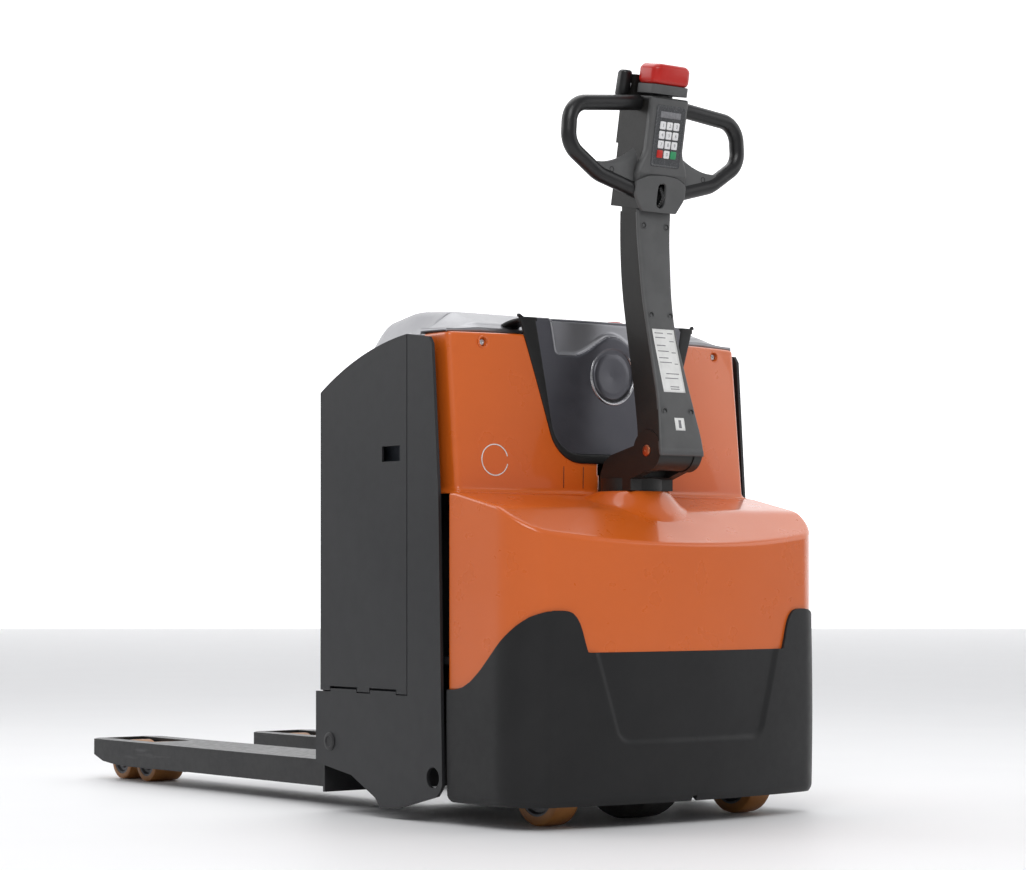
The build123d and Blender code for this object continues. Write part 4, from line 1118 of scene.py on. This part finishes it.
def buildLoops():
    y = noseY + 108
    for side in (-1, 1):
        corners = [(38, 1256), (192, 1240), (197, 1168), (130, 1124), (38, 1100)]
        path = roundPath([(side * x, y, z) for x, z in corners], [38, 40, 60], 3.0)
        name = "left" if side < 0 else "right"
        rings = tubeRings(path, 13.5, 28)
        loftPiece(f"handleLoop{side}", rings, "gripBlack", "tiller", ["handle_loop_" + name])
        # a web in the lower corner of the loop: a concave upper edge, and a foot that follows the tube
        t = np.linspace(0, 1, 30)
        upper = np.column_stack([50 + 112 * t, 1176 - 82 * t + 52 * t**2 + 4 * t**3])
        lower = np.column_stack([44 + 112 * t, 1101 + 26 * t + 10 * t**3])
        sheet = []
        for w in np.linspace(0, 1, 12):
            p = upper * (1 - w) + lower * w
            bulge = 8.5 * np.sqrt(np.clip(1 - (1 - min(w * 4, 1)) ** 2, 0, 1)) * np.ones(30)
            sheet.append(np.column_stack([side * p[:, 0], y - bulge, p[:, 1]]))
        front = np.array(sheet)
        rear = front[::-1].copy()
        rear[..., 1] = 2 * y - rear[..., 1]
        whole = np.concatenate([front, rear])
        sheetPiece(f"loopWeb{side}", whole, "tillerGrey", "tiller", (side * 100, y, 1135), 0, ["head_cover"])
        hole = [(-0.6, 3.6), (-0.8, 4.8), (0.6, 5.2), (1.5, 4.8), (2, 0.1), (0.6, 0.1), (0.4, 3.4)]
        lathePiece(
            f"webScrew{side}", hole, (side * 106, y - 8.4, 1132.5), "gripBlack", "tiller", ["head_cover"],
            cols=32, axis="y",
        )


buildFace()
buildHubCover()
buildKeypad()
buildHead()
buildLoops()
print("tiller built")

# ---- lid of the battery box and cover of the drive end
lidShape = dict(front=boxFrontY + 1, rear=forkFaceY - 1, half=353.4, domeHalf=294, radius=6)


def buildLid():
    s = lidShape
    skirtY, skirtZ = [s["front"], forkFaceY - 142, s["rear"]], [856, 830, 768]
    domeY, domeZ = [s["front"], forkFaceY - 175, forkFaceY - 74, forkFaceY - 21], [896, 902, 884, 800]
    y = np.linspace(s["front"], s["rear"], 110)
    inner = np.linspace(-s["half"] + s["radius"], s["half"] - s["radius"], 220)
    turn = np.linspace(0, np.pi / 2, 6)[:-1]
    side = s["half"] - s["radius"] + s["radius"] * np.cos(turn)
    drop = s["radius"] * (1 - np.sin(turn))
    x = np.concatenate([-side, inner, side[::-1]])
    fall = np.concatenate([drop, 0 * inner, drop[::-1]])
    skirt = eased(y, skirtY, skirtZ)
    dome = eased(y, domeY, domeZ)
    ends = smoothStep(s["rear"] + 2, s["rear"] - 34, y)
    share = 1 - smoothStep(262, 322, np.abs(x))
    z = skirt[:, None] + (np.maximum(dome, skirt) - skirt)[:, None] * share[None] * ends[:, None] - fall[None]
    rolled = smoothStep(s["front"] + 6, s["front"], y) + smoothStep(s["rear"] - 6, s["rear"], y)
    z = z - 3.5 * rolled[:, None]
    grid = np.stack(np.broadcast_arrays(x, y[:, None], z), -1)
    low = np.where(y < s["front"] + 9, 843.0, np.where(y > s["rear"] - 8, 757.0, 748.0))
    left, right = grid[:, :1].copy(), grid[:, -1:].copy()
    left[..., 2] = right[..., 2] = low[:, None]
    grid = np.concatenate([left, grid, right], 1)
    front, rear = grid[:1].copy(), grid[-1:].copy()
    front[..., 2], rear[..., 2] = 843, 757
    grid = np.concatenate([front, grid, rear])
    sheetPiece(
        "batteryLid", grid, "lidPaint", "lid", (0, (s["front"] + s["rear"]) / 2, 600), 3, ["battery_lid"],
    )


stopPlace = (52, noseY + 282)


def buildTopCover():
    y = np.linspace(noseY + 274, boxFrontY - 4.4, 60)
    x = np.linspace(-333, 333, 260)
    bends = np.array([noseY + 274, noseY + 282, noseY + 294, boxFrontY - 4])
    profile = eased(y * 2.2, bends * 2.2, [858, 871, 874, 897])
    share = 1 - smoothStep(255, 325, np.abs(x))
    z = 857 + (profile[:, None] - 857) * (0.12 + 0.88 * share[None])
    grid = np.stack(np.broadcast_arrays(x, y[:, None], z), -1)
    for axis in (1, 0):
        first, last = np.take(grid, [0], axis).copy(), np.take(grid, [-1], axis).copy()
        first[..., 2] = last[..., 2] = 852.4
        grid = np.concatenate([first, grid, last], axis)
    flat = grid.reshape(-1, 3)

    def clear(quads):
        centre = flat[quads].mean(1)
        return np.hypot(centre[:, 0] - stopPlace[0], centre[:, 1] - stopPlace[1]) > 11

    sheetPiece("topCover", grid, "lidPaint", "chassis", (0, noseY + 320, 700), 2, ["top_cover"], keep=clear)
    ring = [(-2.5, 9), (-2.5, 13), (0.9, 13.6), (1.6, 12.6), (1.6, 9.4), (1.2, 9)]
    lathePiece("stopCollar", ring, (*stopPlace, 873), "trimPlastic", "chassis", ["top_cover"], axis="z")
    knob = [
        (-9, 0.1), (-9, 7.6), (7, 7.6), (8, 16.5), (9.5, 18), (12, 18.2), (14.5, 16.6), (16.3, 12), (17, 6),
        (17, 0.1),
    ]
    lathePiece("stopKnob", knob, (*stopPlace, 873), "signalRed", "emergency_stop", ["estop_button"], axis="z")


# ---- wheels and rollers: a tyre with round shoulders on a dished hub
def mirrored(profile):
    return [(-along, radius) for along, radius in profile[::-1]]


def wheelPair(
    name, centre, width, radius, tread, hub, axle, tyreFinish, hubFinish, body, nodes, shoulder,
):
    h = width / 2
    side = [(-h, radius - tread), (-h, radius - shoulder),
            (-h + shoulder * 0.3, radius - shoulder * 0.3), (-h + shoulder, radius - 0.4)]
    tyre = side + [(0, radius)] + mirrored(side)
    lathePiece(name + "Tyre", tyre, centre, tyreFinish, body, nodes[:1], cols=96)
    rim = radius - tread + 0.2
    dish = h - min(6, h * 0.35)
    side = [(-h + 1, rim), (-h + 1, rim - 4), (-dish, rim - 7), (-dish, hub + 3),
            (-h + 1.5, hub), (-h + 1.5, axle)]
    wheel = side + mirrored(side)
    lathePiece(name + "Hub", wheel, centre, hubFinish, body, nodes[-1:], cols=96)


for side in ("left", "right"):
    centre, size = middle("castor_wheel_" + side)
    wheelPair("castor_" + side, centre, size[0], size[2] / 2, 17, 17, 8.1, "wheelBrown", "castMetal",
              "castor_roll_" + side, ["castor_wheel_" + side], 6)
    for end in ("rear", "front"):
        node = f"roller_{side}_{end}"
        centre, size = middle(node)
        wheelPair(node, centre, size[0], size[2] / 2, 11, 15, 10.1, "wheelBrown", "castMetal",
                  f"load_roller_{side}_{end}", [node], 3)
centre, size = middle("drive_tyre")
wheelPair("drive", centre, size[0], size[2] / 2, 33, 42, 20.1, "tyreRubber", "castMetal", "drive_wheel",
          ["drive_tyre", "drive_hub"], 9)
buildLid()
buildTopCover()


# ---- small things on the plates and shells
def surfaceStrip(name, xs, zs, width, out, finish):
    # a thin band that follows the hood's front along a line in X and Z
    line = np.column_stack([xs, zs]).astype(float)
    along = np.gradient(line, axis=0)
    along /= np.linalg.norm(along, axis=1)[:, None]
    across = np.column_stack([-along[:, 1], along[:, 0]])
    rows = []
    for w in (-0.5, 0, 0.5):
        p = line + across * w * width
        rows.append(np.column_stack([p[:, 0], hoodFront(p[:, 0], p[:, 1]) - out, p[:, 1]]))
    inside = (0, noseY + 500, 700)
    sheetPiece(name, np.array(rows), finish, "chassis", inside, 0.2, ["upper_hood"])


for side in (-1, 1):
    for n, x in enumerate((62, 106)):
        z = np.linspace(584, 622, 12)
        surfaceStrip(f"hoodSeam{side}{n}", np.full(12, side * x), z, 1.3, 0.35, "trimPlastic")
turn = np.linspace(0.25, tau - 0.25, 90)
surfaceStrip(
    "plainRing", -254 + 27 * np.cos(turn), 630 + 27 * np.sin(turn), 2.0, 0.45, "labelWhite",
)

for side in ("left", "right"):
    sign = -1 if side == "left" else 1
    cap = [(0, 0.1), (0, 16.5), (1.4, 16.5), (2.6, 14.8), (2.8, 10), (1.2, 9), (1.2, 0.1)]
    place = (sign * halfWidth, forkFaceY - 30.6, 128.6)
    cap = cap if sign > 0 else mirrored(cap)
    lathePiece("plateCap_" + side, cap, place, "frameSteel", "carriage", cols=48)
    pinHead = [(0, 0.1), (0, 9.6), (1.2, 9.4), (2.0, 8.2), (2.0, 2.0), (1.0, 1.8), (1.0, 0.1)]
    pinHead = pinHead if sign > 0 else mirrored(pinHead)
    lathePiece("pivotHead_" + side, pinHead, (sign * 50, pivotY, pivotZ), "copperPin", "steer_unit", cols=48)

# light catches a small rounding on every plate edge that comes from the solids
edgeWidths = dict(
    side_frame=1.0, battery_door=0.9, fork=1.6, battery_box=1.0, base_frame=1.0, tiller_bracket=1.5,
    tiller_arm=2.0, castor_fork=1.0, roller_carrier=0.8, bogie=0.8, pull_rod=0.8, power_pack=2.0,
    motor_controller=2.0, drive_housing=2.0, head_body=3.0,
)
for node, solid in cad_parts.items():
    if withoutSide(node) in edgeWidths:
        addBevel(solid, "edge", edgeWidths[withoutSide(node)])
print("small pieces built")
